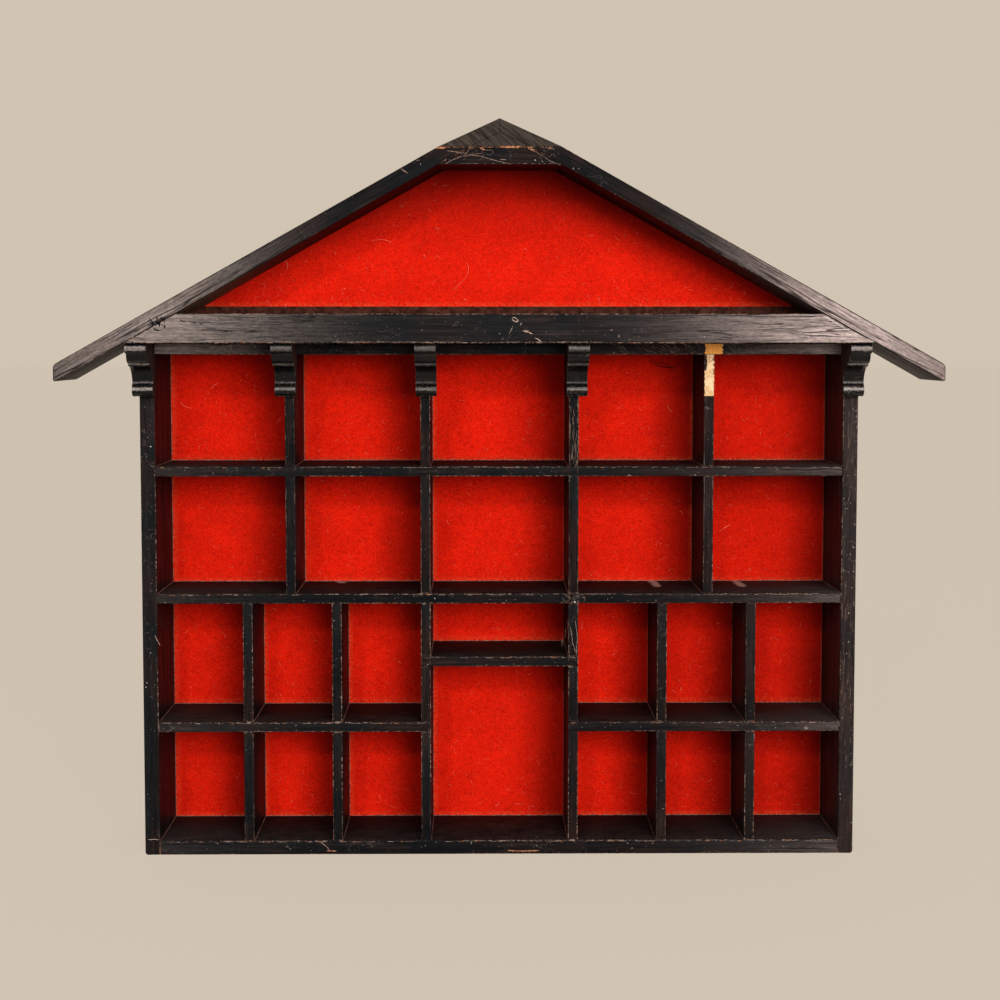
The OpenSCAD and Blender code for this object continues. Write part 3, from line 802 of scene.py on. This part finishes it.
def stroke(shape, face, points, width_mm):
    """A ragged sliver along points of a face."""
    rng = shape.rng
    spot, out = face
    path = []
    for (a0, b0), (a1, b1) in zip(points, points[1:]):
        count = max(1, round(math.hypot(a1 - a0, b1 - b0) / 0.7))
        path += [(a0 + (a1 - a0) * k / count, b0 + (b1 - b0) * k / count) for k in range(count)]
    path.append(points[-1])
    last = len(path) - 1
    rings = []
    for k, (a, b) in enumerate(path):
        ahead = spot(*path[min(k + 1, last)]) - spot(*path[max(k - 1, 0)])
        side = ahead.normalized().cross(out)
        taper = min(1.0, 0.4 + 0.35 * min(k, last - k))
        half = width_mm * MM / 2 * taper * rng.uniform(0.5, 1.15)
        middle = spot(a, b) + side * rng.uniform(-0.15, 0.15) * width_mm * MM
        rings.append([
            middle - side * half - out * SINK * MM,
            middle + side * half - out * SINK * MM,
            middle + side * half * 0.8 + out * RISE * MM,
            middle - side * half * 0.8 + out * RISE * MM,
        ])
    shape.ring_strip(rings)


def strokes(shape, face, marks, share=1.0):
    """Strokes given as their width and points, at a share of that width."""
    for width, points in marks:
        stroke(shape, face, points, width * share)


def dot(shape, face, a, b, size_mm):
    heading = shape.rng.uniform(0, math.pi)
    half = size_mm * shape.rng.uniform(0.25, 0.6)
    along, up = half * math.cos(heading), half * math.sin(heading)
    stroke(shape, face, [(a - along, b - up), (a, b), (a + along, b + up)], size_mm)


def scatter(shape, face, area, count, length_mm, width_mm, heading_deg, spread_deg):
    """Short curved strokes over an area given as (a from, a to, b from, b to)."""
    rng = shape.rng
    for _ in range(count):
        a = rng.uniform(area[0], area[1])
        b = rng.uniform(area[2], area[3])
        heading = math.radians(heading_deg + rng.uniform(-spread_deg, spread_deg))
        length = length_mm * rng.uniform(0.4, 1.2)
        curl = rng.uniform(-0.12, 0.12)
        points = []
        for _ in range(5):
            points.append((a, b))
            a = min(max(a + math.cos(heading) * length / 4, area[0]), area[1])
            b = min(max(b + math.sin(heading) * length / 4, area[2]), area[3])
            heading += curl
        stroke(shape, face, points, width_mm * rng.uniform(0.6, 1.2))


def specks(shape, face, area, count, size_mm):
    rng = shape.rng
    for _ in range(count):
        a = rng.uniform(area[0], area[1])
        b = rng.uniform(area[2], area[3])
        dot(shape, face, a, b, size_mm * rng.uniform(0.5, 1.3))


def chips(shape, face, start, end, count, length_mm, width_mm):
    """Slivers worn along the line from start to end."""
    rng = shape.rng
    (a0, b0), (a1, b1) = start, end
    whole = math.hypot(a1 - a0, b1 - b0)
    for _ in range(count):
        length = length_mm * rng.uniform(0.3, 1.5) / whole
        share = rng.uniform(0, max(0.01, 1 - length))
        shares = (share, share + length / 2, share + length)
        line = [(a0 + (a1 - a0) * t, b0 + (b1 - b0) * t) for t in shares]
        stroke(shape, face, line, width_mm * rng.uniform(0.5, 1.3))


# Each mark: its width, then its points as (x, z)
PEAK_PINK = [
    (0.9, [(-32.4, 446.7), (-26, 445.8), (-20.5, 445.1)]),
    (0.5, [(-20.5, 445.1), (-18.9, 447.9), (-15.6, 448.4)]),
    (0.7, [(-19.7, 444.3), (-12.4, 443.5), (-4.2, 441.1), (6.4, 438.6)]),
    (0.5, [(-26.2, 443.1), (-20.5, 443.5), (-15.6, 444.7), (-9.9, 445.4)]),
    (0.7, [(-33.6, 438.9), (-28.7, 441.3), (-24.6, 442.9), (-20.5, 444.3)]),
    (0.9, [(-0.1, 441.5), (3.9, 441.3)]),
    (0.5, [(17.0, 448.0), (21.9, 446.0), (26.8, 443.1), (30.9, 440.3), (37.4, 437.9)]),
    (0.4, [(32.5, 444.8), (33.7, 443.1)]),
    (0.3, [(-9.1, 447.1), (-5.0, 447.1), (-4.2, 445.5), (-6.7, 443.9), (-9.1, 445.4)]),
    (0.9, [(28.8, 448.2), (33.3, 447.8)]),
    (1.1, [(-60.9, 435.8), (-56.5, 433.0)]),
    (0.8, [(-51.5, 440.5), (-49.1, 441.2)]),
]
PEAK_ORANGE = [
    (1.3, [(-39.2, 448.3), (-33.2, 448.6)]),
    (0.8, [(-12.4, 448.5), (-9.1, 447.1)]),
    (1.5, [(-0.1, 449.0), (6, 449.0), (12.5, 449.0)]),
    (0.8, [(17.0, 448.4), (21.1, 446.8)]),
]
PEAK_DOTS = [(21.5, 441.1), (26.0, 440.3), (44.8, 436.0), (48.1, 435.9), (-48.7, 438.6)]
FASCIA_TAN = [
    (0.6, [
        (7.3, 344.8), (8.3, 345.3), (10.2, 344.2), (11.0, 342.6), (9.6, 342.4), (7.9, 343.4), (7.3, 344.8),
    ]),
    (0.7, [(12.2, 340.4), (12.8, 341.1), (13.2, 342.0)]),
    (0.8, [(14.0, 336.8), (17.0, 336.2), (20.1, 334.9)]),
    (0.5, [(14.9, 337.2), (17.6, 336.9)]),
    (0.7, [(21.4, 332.5), (23.6, 331.6), (25.7, 329.8)]),
    (0.25, [(7.9, 339.9), (6.8, 337.4), (5.4, 334.9)]),
    (0.5, [(1.0, 332.2), (2.0, 331.4)]),
    (0.4, [(67.8, 337.0), (69.4, 337.8)]),
    (0.4, [(72.6, 334.6), (73.8, 332.8)]),
    (0.4, [(72.6, 333.0), (73.8, 334.4)]),
]
FASCIA_BLACK = [
    (1.5, [(-215.5, 344.6), (-214.0, 342.6), (-213.2, 340.4)]),
    (1.3, [(-211.6, 343.0), (-209.8, 341.0), (-209.4, 339.2)]),
    (1.1, [(-213.5, 338.4), (-211.0, 337.2), (-208.5, 336.8)]),
    (1.1, [(-208.8, 345.2), (-206.2, 342.8)]),
    (0.9, [(-196.9, 343.5), (-193.6, 342.2)]),
    (0.7, [(-190.2, 342.6), (-186.6, 341.2)]),
    (0.8, [(-185.0, 341.4), (-182.9, 340.5)]),
]
FRONT_PALE = [
    (0.5, [(-220.6, 143.0), (-219.4, 139.8), (-217.5, 136.6)]),
    (0.25, [(48.5, 152.4), (50.0, 141.0), (49.2, 129.7)]),
    (0.25, [(45.4, 148.0), (46.8, 138.0), (49.0, 131.0)]),
    (0.5, [(-116.0, 8.6), (-112.4, 5.6), (-109.6, 2.9)]),
    (0.4, [(196.3, 82.0), (197.5, 82.9), (198.7, 82.0), (197.5, 81.2), (196.3, 82.0)]),
    (0.4, [(-226.8, 10.0), (-222.4, 10.2), (-219.6, 9.8)]),
]
FRONT_ORANGE = [
    (0.8, [(-46.2, 168.8), (-44.4, 168.9)]),
    (0.9, [(-111.6, 2.4), (-105.1, 2.2)]),
    (0.8, [(5.4, 2.2), (15.0, 1.8), (25.4, 2.2)]),
]
FRONT_DOTS = [
    (-41.4, 166.3, 1.2), (48.3, 163.9, 1.5),
    (-226.2, 112.1, 0.8), (-227.0, 109.4, 0.8), (-221.8, 263.8, 0.9),
]

# Each strip of tape on the middle shelf: x, y at its front and back, and how far its ends lean
TAPES = [(-105.4, 40.0, 49.0, 1.0), (104.2, 16.5, 49.3, 0.45), (160.2, 16.5, 48.7, 0.5)]
TAPE_WIDTH = 7.0

# Places in millimetres that the marks share
HIP_FOOT = 448.9
SEAM_TOP = (18.5, peak_under_z / MM - 10.8)
base_low = base_lo.z / MM
base_high = base_hi.z / MM
base_reach = base_hi.x / MM
roof_tip = (roof_hi.x / MM, roof_lo.z / MM)
ridge_foot = ridge_lo.z / MM
ridge_half = ridge_hi.x / MM
top_board_z = (top_lo.z / MM + 0.6, top_hi.z / MM)
side_inner = side_lo.x / MM
side_outer = side_hi.x / MM


def shelf_lines():
    """The front top arris of each shelf, as (x from, x to, z)."""
    lines = []
    for name in nodes:
        if name.startswith("shelf") or name == "bottom_board":
            low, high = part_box(name)
            lines.append((low.x / MM + 1, high.x / MM - 1, high.z / MM - 0.75))
    return lines


def shelf_chips(shape, spacing_mm, length_mm, width_mm):
    for x0, x1, z in shelf_lines():
        chips(shape, box, (x0, z), (x1, z), round((x1 - x0) / spacing_mm), length_mm, width_mm)


def pale_marks(shape):
    strokes(shape, gable, FASCIA_TAN)
    strokes(shape, box, FRONT_PALE)
    shelf_chips(shape, 9, 3.2, 0.26)
    low = base_low + 0.75
    chips(shape, gable, (-0.6 * base_reach, low), (0.3 * base_reach, low), 60, 5.0, 0.30)


def faint_marks(shape):
    """What the photograph shows as brownish lines and specks."""
    strokes(shape, gable, PEAK_PINK, 0.75)
    low, high = base_low + 0.75, base_high - 0.75
    soffit = ridge_foot + 0.5
    chips(shape, gable, (-0.9 * base_reach, low), (0.9 * base_reach, low), 40, 3.0, 0.3)
    chips(shape, gable, (-0.55 * base_reach, high), (0.6 * base_reach, high), 36, 3.5, 0.25)
    chips(shape, gable, (-ridge_half, soffit), (ridge_half, soffit), 34, 1.4, 0.45)
    for lines in (
        ((-34, 34, soffit, soffit + 9), 8, 3.5, 0.16, 20, 60),
        ((40, 0.85 * base_reach, low, high), 48, 2.2, 0.20, 60, 55),
        ((-0.8 * base_reach, 40, low, high), 34, 2.2, 0.16, 40, 70),
    ):
        scatter(shape, gable, *lines)
    for lines in (
        ((70, 128, *top_board_z), 46, 5.0, 0.20, -38, 10),
        ((143, 205, *top_board_z), 40, 4.0, 0.22, -30, 25),
        ((-205, -160, *top_board_z), 40, 3.0, 0.24, 20, 60),
        ((-side_inner - 9.0, -side_inner - 0.6, 250, 292), 22, 4.2, 0.16, -38, 16),
        ((-side_inner - 9.0, -side_inner - 0.6, 8, 250), 34, 2.6, 0.18, 60, 60),
        ((side_inner + 0.6, side_inner + 9.0, 8, 290), 44, 2.2, 0.20, 80, 50),
        ((39.3, 54.7, 163.9, 168.7), 34, 4.0, 0.22, 10, 75),
        ((39.6, 54.0, 126, 162), 16, 6.0, 0.20, -86, 8),
        ((43.9, 50.6, 252, 294), 30, 9.0, 0.30, -90, 3),
        ((side_outer - 9.0, side_outer - 0.6, 60, 290), 50, 8.0, 0.26, -90, 3),
    ):
        scatter(shape, box, *lines)
    for name in ("divider_upper_left", "divider_tall_left", "divider_upper_right", "divider_tall_right"):
        piece_lo, piece_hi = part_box(name)
        foot, head = piece_lo.z / MM + 2, piece_hi.z / MM - 2
        for x in (piece_lo.x / MM + 0.5, piece_hi.x / MM - 0.5):
            chips(shape, box, (x, foot), (x, head), round((head - foot) / 9), 3.5, 0.25)


def orange_marks(shape):
    strokes(shape, gable, PEAK_ORANGE)
    strokes(shape, box, FRONT_ORANGE)
    chips(shape, gable, (-37, HIP_FOOT), (37, HIP_FOOT), 30, 3.2, 0.5)
    seam_x, seam_z = SEAM_TOP
    for side in (-1, 1):
        start = (side * ridge_half, ridge_foot + 0.4)
        chips(shape, gable, start, (side * seam_x, seam_z), 9, 2.2, 0.35)
    shelf_chips(shape, 16, 2.4, 0.34)
    tip_x, tip_z = roof_tip
    chips(shape, gable, (tip_x - 6, tip_z + 4.5), (tip_x - 1.2, tip_z + 3), 6, 1.6, 0.6)


# White specks, and one painted highlight along the fascia's right end
def white_specks_and_highlight(shape):
    for x, z in PEAK_DOTS:
        dot(shape, gable, x, z, 0.7)
    for x, z, size in FRONT_DOTS:
        dot(shape, box, x, z, size)
    # A painted highlight: a thin white line where the fascia's slanted right end catches the light
    stroke(shape, gable, [(199.7, 346.0), (215.0, 337.0), (230.9, 329.9)], 0.40)
    specks(shape, box, (side_outer - 9.0, side_outer - 0.5, 20, 250), 26, 0.6)
    specks(shape, box, (side_outer - 1.6, side_outer - 0.5, 4, 290), 26, 0.5)
    specks(shape, box, (-side_outer + 0.5, -side_outer + 9.0, 4, 290), 22, 0.5)
    specks(shape, gable, (-200, 200, base_low + 1, base_high - 1), 22, 0.4)
    for x0, x1, z in shelf_lines():
        specks(shape, box, (x0, x1, z - 5, z), round((x1 - x0) / 30), 0.5)


def black_marks(shape):
    strokes(shape, gable, FASCIA_BLACK)
    heights = (base_low + 1, base_high - 1)
    scatter(shape, gable, (0.45 * base_reach, 0.9 * base_reach, *heights), 34, 9.0, 0.26, 0, 5)
    scatter(shape, gable, (-0.9 * base_reach, -0.5 * base_reach, *heights), 26, 7.0, 0.24, 0, 5)
    scatter(shape, gable, (-0.88 * base_reach, -0.6 * base_reach, *heights), 14, 1.2, 0.5, 0, 60)
    for x, z in ((212.2, 334.9), (203.5, 331.2)):
        dot(shape, gable, x, z, 0.9)
    scatter(shape, gable, (-216, -206, 337, 345), 22, 2.0, 1.1, 45, 90)


def tape_strips(shape):
    """Old strips of tape on the middle shelf, from the back forwards."""
    face = on_top(middle_hi.z)
    for x, y_front, y_back, lean in TAPES:
        middle = (x, (y_front + y_back) / 2)
        stroke(shape, face, [(x + lean, y_front), middle, (x - lean, y_back)], TAPE_WIDTH)


# The lost corbel

def relief_strip(shape, rows, steps, depth_mm):
    """A lumpy film on the box's front: rows as (z, x from, x to), in millimetres."""
    rings = []
    for z, x0, x1 in rows:
        ring = [Vector((x * MM, front_y + 0.05 * MM, z * MM)) for x in (x1, x0)]
        for k in range(steps + 1):
            share = k / steps
            x = x0 + (x1 - x0) * share
            lump = 0.45 + 0.55 * noise.noise((x, 4.0, z * 0.8))
            thick = depth_mm * lump * min(1.0, 0.3 + 5 * min(share, 1 - share))
            ring.append(Vector((x * MM, front_y - max(thick, 0.06) * MM, z * MM)))
        rings.append(ring)
    shape.ring_strip(rings)


def ragged_rows(rng, z0, z1, left, right, jitter, step=0.5):
    count = round((z1 - z0) / step)
    rows = []
    for k in range(count + 1):
        z = z0 + (z1 - z0) * k / count
        rows.append((z, left + rng.uniform(-jitter, jitter), right + rng.uniform(-jitter, jitter)))
    return rows


def lost_corbel(wood, film, stained):
    """Bared wood on the top board, dried glue on the divider and the hole of a nail."""
    brown = Shape(26)
    divider_lo, divider_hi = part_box("divider_upper_right")
    left, right = divider_lo.x / MM, divider_hi.x / MM
    under, over = top_lo.z / MM, scar_hi.z / MM
    patch = Shape()
    edges = (scar_lo.x / MM + 0.4, scar_hi.x / MM - 0.8)
    relief_strip(patch, ragged_rows(brown.rng, under + 0.3, over, *edges, 0.5), 14, 0.45)
    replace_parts(patch.build("scar_wood", wood), "corbel_scar")

    glue_film = Shape()
    notch_z = under - 10
    rows = ragged_rows(brown.rng, scar_lo.z / MM, under, left + 0.2, right - 0.2, 0.3)
    rows = [(z, x0 + (1.3 if z > notch_z else 0.0), x1) for z, x0, x1 in rows]
    relief_strip(glue_film, rows, 8, 0.5)
    glue_film.build("scar_glue", film)

    edge = on_front(front_y - 0.18 * MM)
    run = [(right - 0.7, under - 1), (right - 0.9, under - 6), (right - 0.5, under - 13)]
    stroke(brown, edge, run, 1.3)
    stroke(brown, edge, [(left + 1.6, under - 4), (left + 1.9, under - 8)], 0.6)
    stroke(brown, edge, [(left + 1.2, under - 21), (left + 2.2, under - 23)], 0.5)
    x, z = left + 3.4, under - 3.0
    for radius in (1.5, 0.35):
        ring = [(x + radius * math.cos(a * 0.7), z + radius * math.sin(a * 0.7)) for a in range(10)]
        stroke(brown, on_front(front_y - 0.34 * MM), ring, 0.4)
    brown.build("scar_stain", stained)


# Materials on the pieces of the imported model

BEVEL = 0.5
CORBEL_BEVEL = 0.35
SHORT_EDGE = 2.2
SHARP = math.radians(28)
CREASE = math.radians(32)


def geometry_graph(name):
    """An empty geometry graph, and the geometry that comes into it."""
    tree = bpy.data.node_groups.new(name, "GeometryNodeTree")
    for way in ("INPUT", "OUTPUT"):
        tree.interface.new_socket("Geometry", in_out=way, socket_type="NodeSocketGeometry")
    graph = Graph(tree)
    return graph, graph.add("NodeGroupInput").outputs[0]


def arris_marker(name, clear_mm):
    """Marks the long sharp edges for the bevel, so that pin holes and the mitre at X = 0 stay sharp."""
    graph, body = geometry_graph(name)
    angle = graph.add("GeometryNodeInputMeshEdgeAngle").outputs[0]
    _, _, start, end = graph.add("GeometryNodeInputMeshEdgeVertices").outputs
    length = graph.vector("DISTANCE", start, end, 1)
    across = graph.math("ABSOLUTE", graph.axes(graph.vector("ADD", start, end))[0])
    arris = graph.both(graph.above(angle, SHARP), graph.above(length, SHORT_EDGE * MM))
    wanted = graph.both(arris, graph.above(across, 2 * clear_mm * MM))
    inputs = {0: body, "Selection": wanted, "Name": "bevel_weight_edge", "Value": 1.0}
    marked = graph.add("GeometryNodeStoreNamedAttribute", inputs, domain="EDGE")
    graph.add("NodeGroupOutput", [marked.outputs[0]])
    return graph.tree


def smooth_shader():
    """Shades smoothly, apart from edges sharper than a set angle."""
    graph, body = geometry_graph("smooth_by_angle")
    crease = graph.above(graph.add("GeometryNodeInputMeshEdgeAngle").outputs[0], CREASE)
    faces = graph.add("GeometryNodeSetShadeSmooth", [body])
    inputs = {0: faces.outputs[0], "Selection": crease, "Shade Smooth": False}
    edges = graph.add("GeometryNodeSetShadeSmooth", inputs, domain="EDGE")
    graph.add("NodeGroupOutput", [edges.outputs[0]])
    return graph.tree


mark_arrises = arris_marker("mark_arrises", -1.0)
mark_roof_arrises = arris_marker("mark_roof_arrises", 12.0)
smooth_by_angle = smooth_shader()


def dress(name, material, arris=None, bevel_mm=BEVEL):
    """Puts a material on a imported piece. If it is given one for the arrises, it rounds them too."""
    piece = nodes[name]
    piece.data.materials.clear()
    piece.data.materials.append(material)
    weld = piece.modifiers.new("weld", "WELD")
    weld.merge_threshold = 0.002 * MM
    if arris:
        piece.data.materials.append(arris)
        plane = piece.modifiers.new("plane", "DECIMATE")
        plane.decimate_type = "DISSOLVE"
        plane.angle_limit = math.radians(0.4)
        marker = mark_roof_arrises if name.startswith("roof") else mark_arrises
        piece.modifiers.new("mark", "NODES").node_group = marker
        bevel = piece.modifiers.new("bevel", "BEVEL")
        bevel.limit_method = "WEIGHT"
        bevel.width = bevel_mm * MM
        bevel.segments = 2
        bevel.use_clamp_overlap = False
        bevel.material = 1
    piece.modifiers.new("smooth", "NODES").node_group = smooth_by_angle


# Camera, light and floor

LENS = 73.45
EYE = (-14.0, 1298.1, 328.4)    # right of the middle, out from the front, and up
DOWN_DEG = 4.355
RIGHT_DEG = 0.63
FLOOR_HALF = 40.0
WORLD_COLOUR = (0.96, 0.97, 1.0)
WORLD_LEVEL = 0.38

# Each lamp: degrees right of the front and up, metres away, size, level, colour and shape
LAMPS = {
    "key": (15, 11, 3.0, 1.25, 0.66, (1.0, 0.975, 0.94), "DISK"),
    "fill": (-6, 9, 3.4, 2.4, 0.17, (0.97, 0.98, 1.0), "SQUARE"),
    "glint": (-11, 20, 3.4, 0.24, 0.13, (1.0, 0.99, 0.97), "DISK"),
}


def set_camera():
    camera = bpy.data.cameras.new("camera")
    camera.lens = LENS
    camera.sensor_width = 36
    camera.clip_end = 30
    eye = bpy.data.objects.new("camera", camera)
    right, out, up = EYE
    eye.location = (right * MM, front_y - out * MM, up * MM)
    eye.rotation_euler = (math.radians(90 - DOWN_DEG), 0, math.radians(-RIGHT_DEG))
    scene.collection.objects.link(eye)
    scene.camera = eye


def area_light(name, away_deg, rise_deg, reach, size, level, colour, shape):
    """A soft light away_deg to the right of the front, whose light on what faces it is level."""
    light = bpy.data.lights.new(name, "AREA")
    light.shape = shape
    light.size = size
    light.energy = level * (math.pi * reach) ** 2
    light.color = colour
    lamp = bpy.data.objects.new(name, light)
    away, rise = math.radians(away_deg), math.radians(rise_deg)
    aim = Vector((0, front_y, box_top * 0.6))
    out = (math.sin(away) * math.cos(rise), -math.cos(away) * math.cos(rise), math.sin(rise))
    lamp.location = aim + reach * Vector(out)
    lamp.rotation_euler = (aim - lamp.location).to_track_quat("-Z", "Y").to_euler()
    lamp.visible_camera = False
    scene.collection.objects.link(lamp)


def light_world():
    """Soft light from all round, which the camera sees as the plain background."""
    world = bpy.data.worlds.new("world")
    scene.world = world
    world.use_nodes = True
    world.node_tree.nodes.clear()
    graph = Graph(world.node_tree)
    light = graph.add("ShaderNodeBackground", {"Color": WORLD_COLOUR, "Strength": WORLD_LEVEL})
    shown = graph.add("ShaderNodeBackground", {"Color": BACKGROUND, "Strength": 1.0})
    blend = graph.add("ShaderNodeMixShader", (graph.seen(), light.outputs[0], shown.outputs[0]))
    graph.add("ShaderNodeOutputWorld", [blend.outputs[0]])


def lay_floor():
    """A pale floor that shows as the background but keeps the object's shadow."""
    mesh = bpy.data.meshes.new("floor")
    corners = [(x * FLOOR_HALF, y * FLOOR_HALF, 0) for x, y in ((-1, -1), (1, -1), (1, 1), (-1, 1))]
    mesh.from_pydata(corners, [], [(0, 1, 2, 3)])
    p = Paint("floor")
    p.colour = p.mix(p.noise(p.place, 0.008, 4, 0.6), (0.40, 0.34, 0.28), (0.44, 0.38, 0.32))
    seen = p.seen()
    p.lay(p.scaled(BACKGROUND, 0.20), seen)
    p.feed(p.shader.inputs["Emission Strength"], p.times(seen, 0.88))
    mesh.materials.append(p.finish(0.9, Specular_IOR_Level=0.02, Emission_Color=BACKGROUND))
    floor = bpy.data.objects.new("floor", mesh)
    floor.location.z = -0.2 * MM
    scene.collection.objects.link(floor)


# The build

scene.view_settings.view_transform = "Standard"
set_camera()
for name, settings in LAMPS.items():
    area_light(name, *settings)
light_world()
lay_floor()

fascia_wear = toward_ends(45, 205)
roof_wear = toward_ends(80, 206, tip_mm=275, power=2.4)
shelf_wear = toward_ends(70, 228, left=0.10, right=0.16)
top_wear = toward_ends(105, 208, right=0.50)
side_wear = toward_ends(70, 235, left=0.01, right=0.04)

board_x = ebony("ebony_level", "X", shelf_wear, shine=0.52, brown=0.75)
board_low = ebony("ebony_low", "X", shelf_wear, shine=0.52, level=0.03, brown=0.35, haze=0.01)
board_top = ebony("ebony_top", "X", top_wear, brown=0.65)
board_z = ebony("ebony_upright", "Z", side_wear, brown=0.85)
board_fascia = ebony("ebony_fascia", "X", fascia_wear, level=0.05, brown=0.35, haze=0.01)
roof_look = {"level": 0.03, "haze": 0.01, "dark_edge": True}
board_left = ebony("ebony_roof_left", "left", roof_wear, brown=0.6, **roof_look)
board_right = ebony("ebony_roof_right", "right", roof_wear, brown=0.7, **roof_look)
board_peak = ebony("ebony_peak", "X", brown=0.8, **roof_look)
board_sill = mottled("ebony_sill", (0.030, 0.0080, 0.0055), (0.085, 0.026, 0.016), 0.3, 0.6, level=0.02)
board_corbel = corbel_black("ebony_corbel")
arris = ebony_edge("ebony_arris", 0.75, 0.10)
arris_fascia = ebony_edge("ebony_fascia_arris", 0.85, 0.16)
arris_roof = ebony_edge("ebony_roof_arris", 0.45, 0.02)
hardboard = mottled("hardboard", (0.22, 0.130, 0.068), (0.31, 0.200, 0.115), 0.25, 0.62)
steel = mottled("steel", (0.30, 0.29, 0.27), (0.46, 0.45, 0.43), 0.5, 0.38, 0.02, 0.5, Metallic=0.9)
pin_steel = mottled("pin_steel", PIN_BROWN, PIN_GREY, 0.9, 0.45, 0.03, 0.5, Metallic=0.6)
glue = mottled("dried_glue", (0.09, 0.055, 0.045), GLUE, 0.6, 0.55)
lint_pale = mottled("lint", (0.90, 0.13, 0.06), (0.92, 0.46, 0.34), 0.08, 0.9, 0.01)
dark_hair = mottled("dark_hair", JET, BROWN_BLACK, 0.3, 0.5, level=0.03)
red_felt = felt("red_felt")

# What the pieces wear, by the start of their names: the first line that fits counts
OUTFITS = [
    (("brads", "hanger_pins"), pin_steel),
    (("hanger",), steel),
    (("back_panel", "gable_back"), hardboard),
    (("corbel",), board_corbel, board_corbel, CORBEL_BEVEL),
    (("roof_left",), board_left, arris_roof),
    (("roof_right",), board_right, arris_roof),
    (("gable_base",), board_fascia, arris_fascia),
    (("ridge_block",), board_peak),
    (("gable_sill",), board_sill),
    (("shelf_middle", "bottom_board"), board_low, arris),
    (("top_board",), board_top, arris),
    (("side", "divider"), board_z, arris),
    (("shelf",), board_x, arris),
]
REPLACED = ("box_felt", "gable_felt", "corbel_scar")
for name in nodes:
    if name not in REPLACED:
        outfit = next(line for line in OUTFITS if name.startswith(line[0]))
        dress(name, *outfit[1:])

box_lining(red_felt)
gable_lining(red_felt)
draw(lint, 11, lint_pale)
draw(glue_lines, 5, glue)

loose_hairs("pale_hairs", PALE_HAIRS, 0.09, lint_pale)
loose_hairs("dark_hairs", DARK_HAIRS, 0.36, dark_hair)

draw(pale_marks, 21, mottled("bared_pale", (0.36, 0.24, 0.18), (0.56, 0.42, 0.34), 0.5, 0.6))
draw(faint_marks, 27, mottled("rubbed_line", (0.10, 0.055, 0.042), (0.30, 0.19, 0.145), 0.35, 0.5))
draw(orange_marks, 22, mottled("bared_orange", (0.32, 0.10, 0.042), (0.56, 0.26, 0.12), 0.6, 0.6))
draw(white_specks_and_highlight, 23, mottled("white_paint", (0.45, 0.40, 0.35), (0.78, 0.75, 0.70), 0.5, 0.5))
draw(black_marks, 24, mottled("old_stain", JET, BLUE_BLACK, 0.5, 0.4, level=0.04))
draw(tape_strips, 25, mottled("old_tape", (0.26, 0.215, 0.170), (0.46, 0.400, 0.320), 0.6, 0.6))
lost_corbel(
    mottled("bared_patch", BARE_WOOD, BARE_WOOD_DARK, 0.30, 0.6, 0.15),
    mottled("old_glue", OLD_GLUE, OLD_GLUE_BROWN, 0.16, 0.45, 0.2),
    mottled("glue_stain", (0.22, 0.090, 0.040), (0.50, 0.280, 0.150), 1.2, 0.5),
)
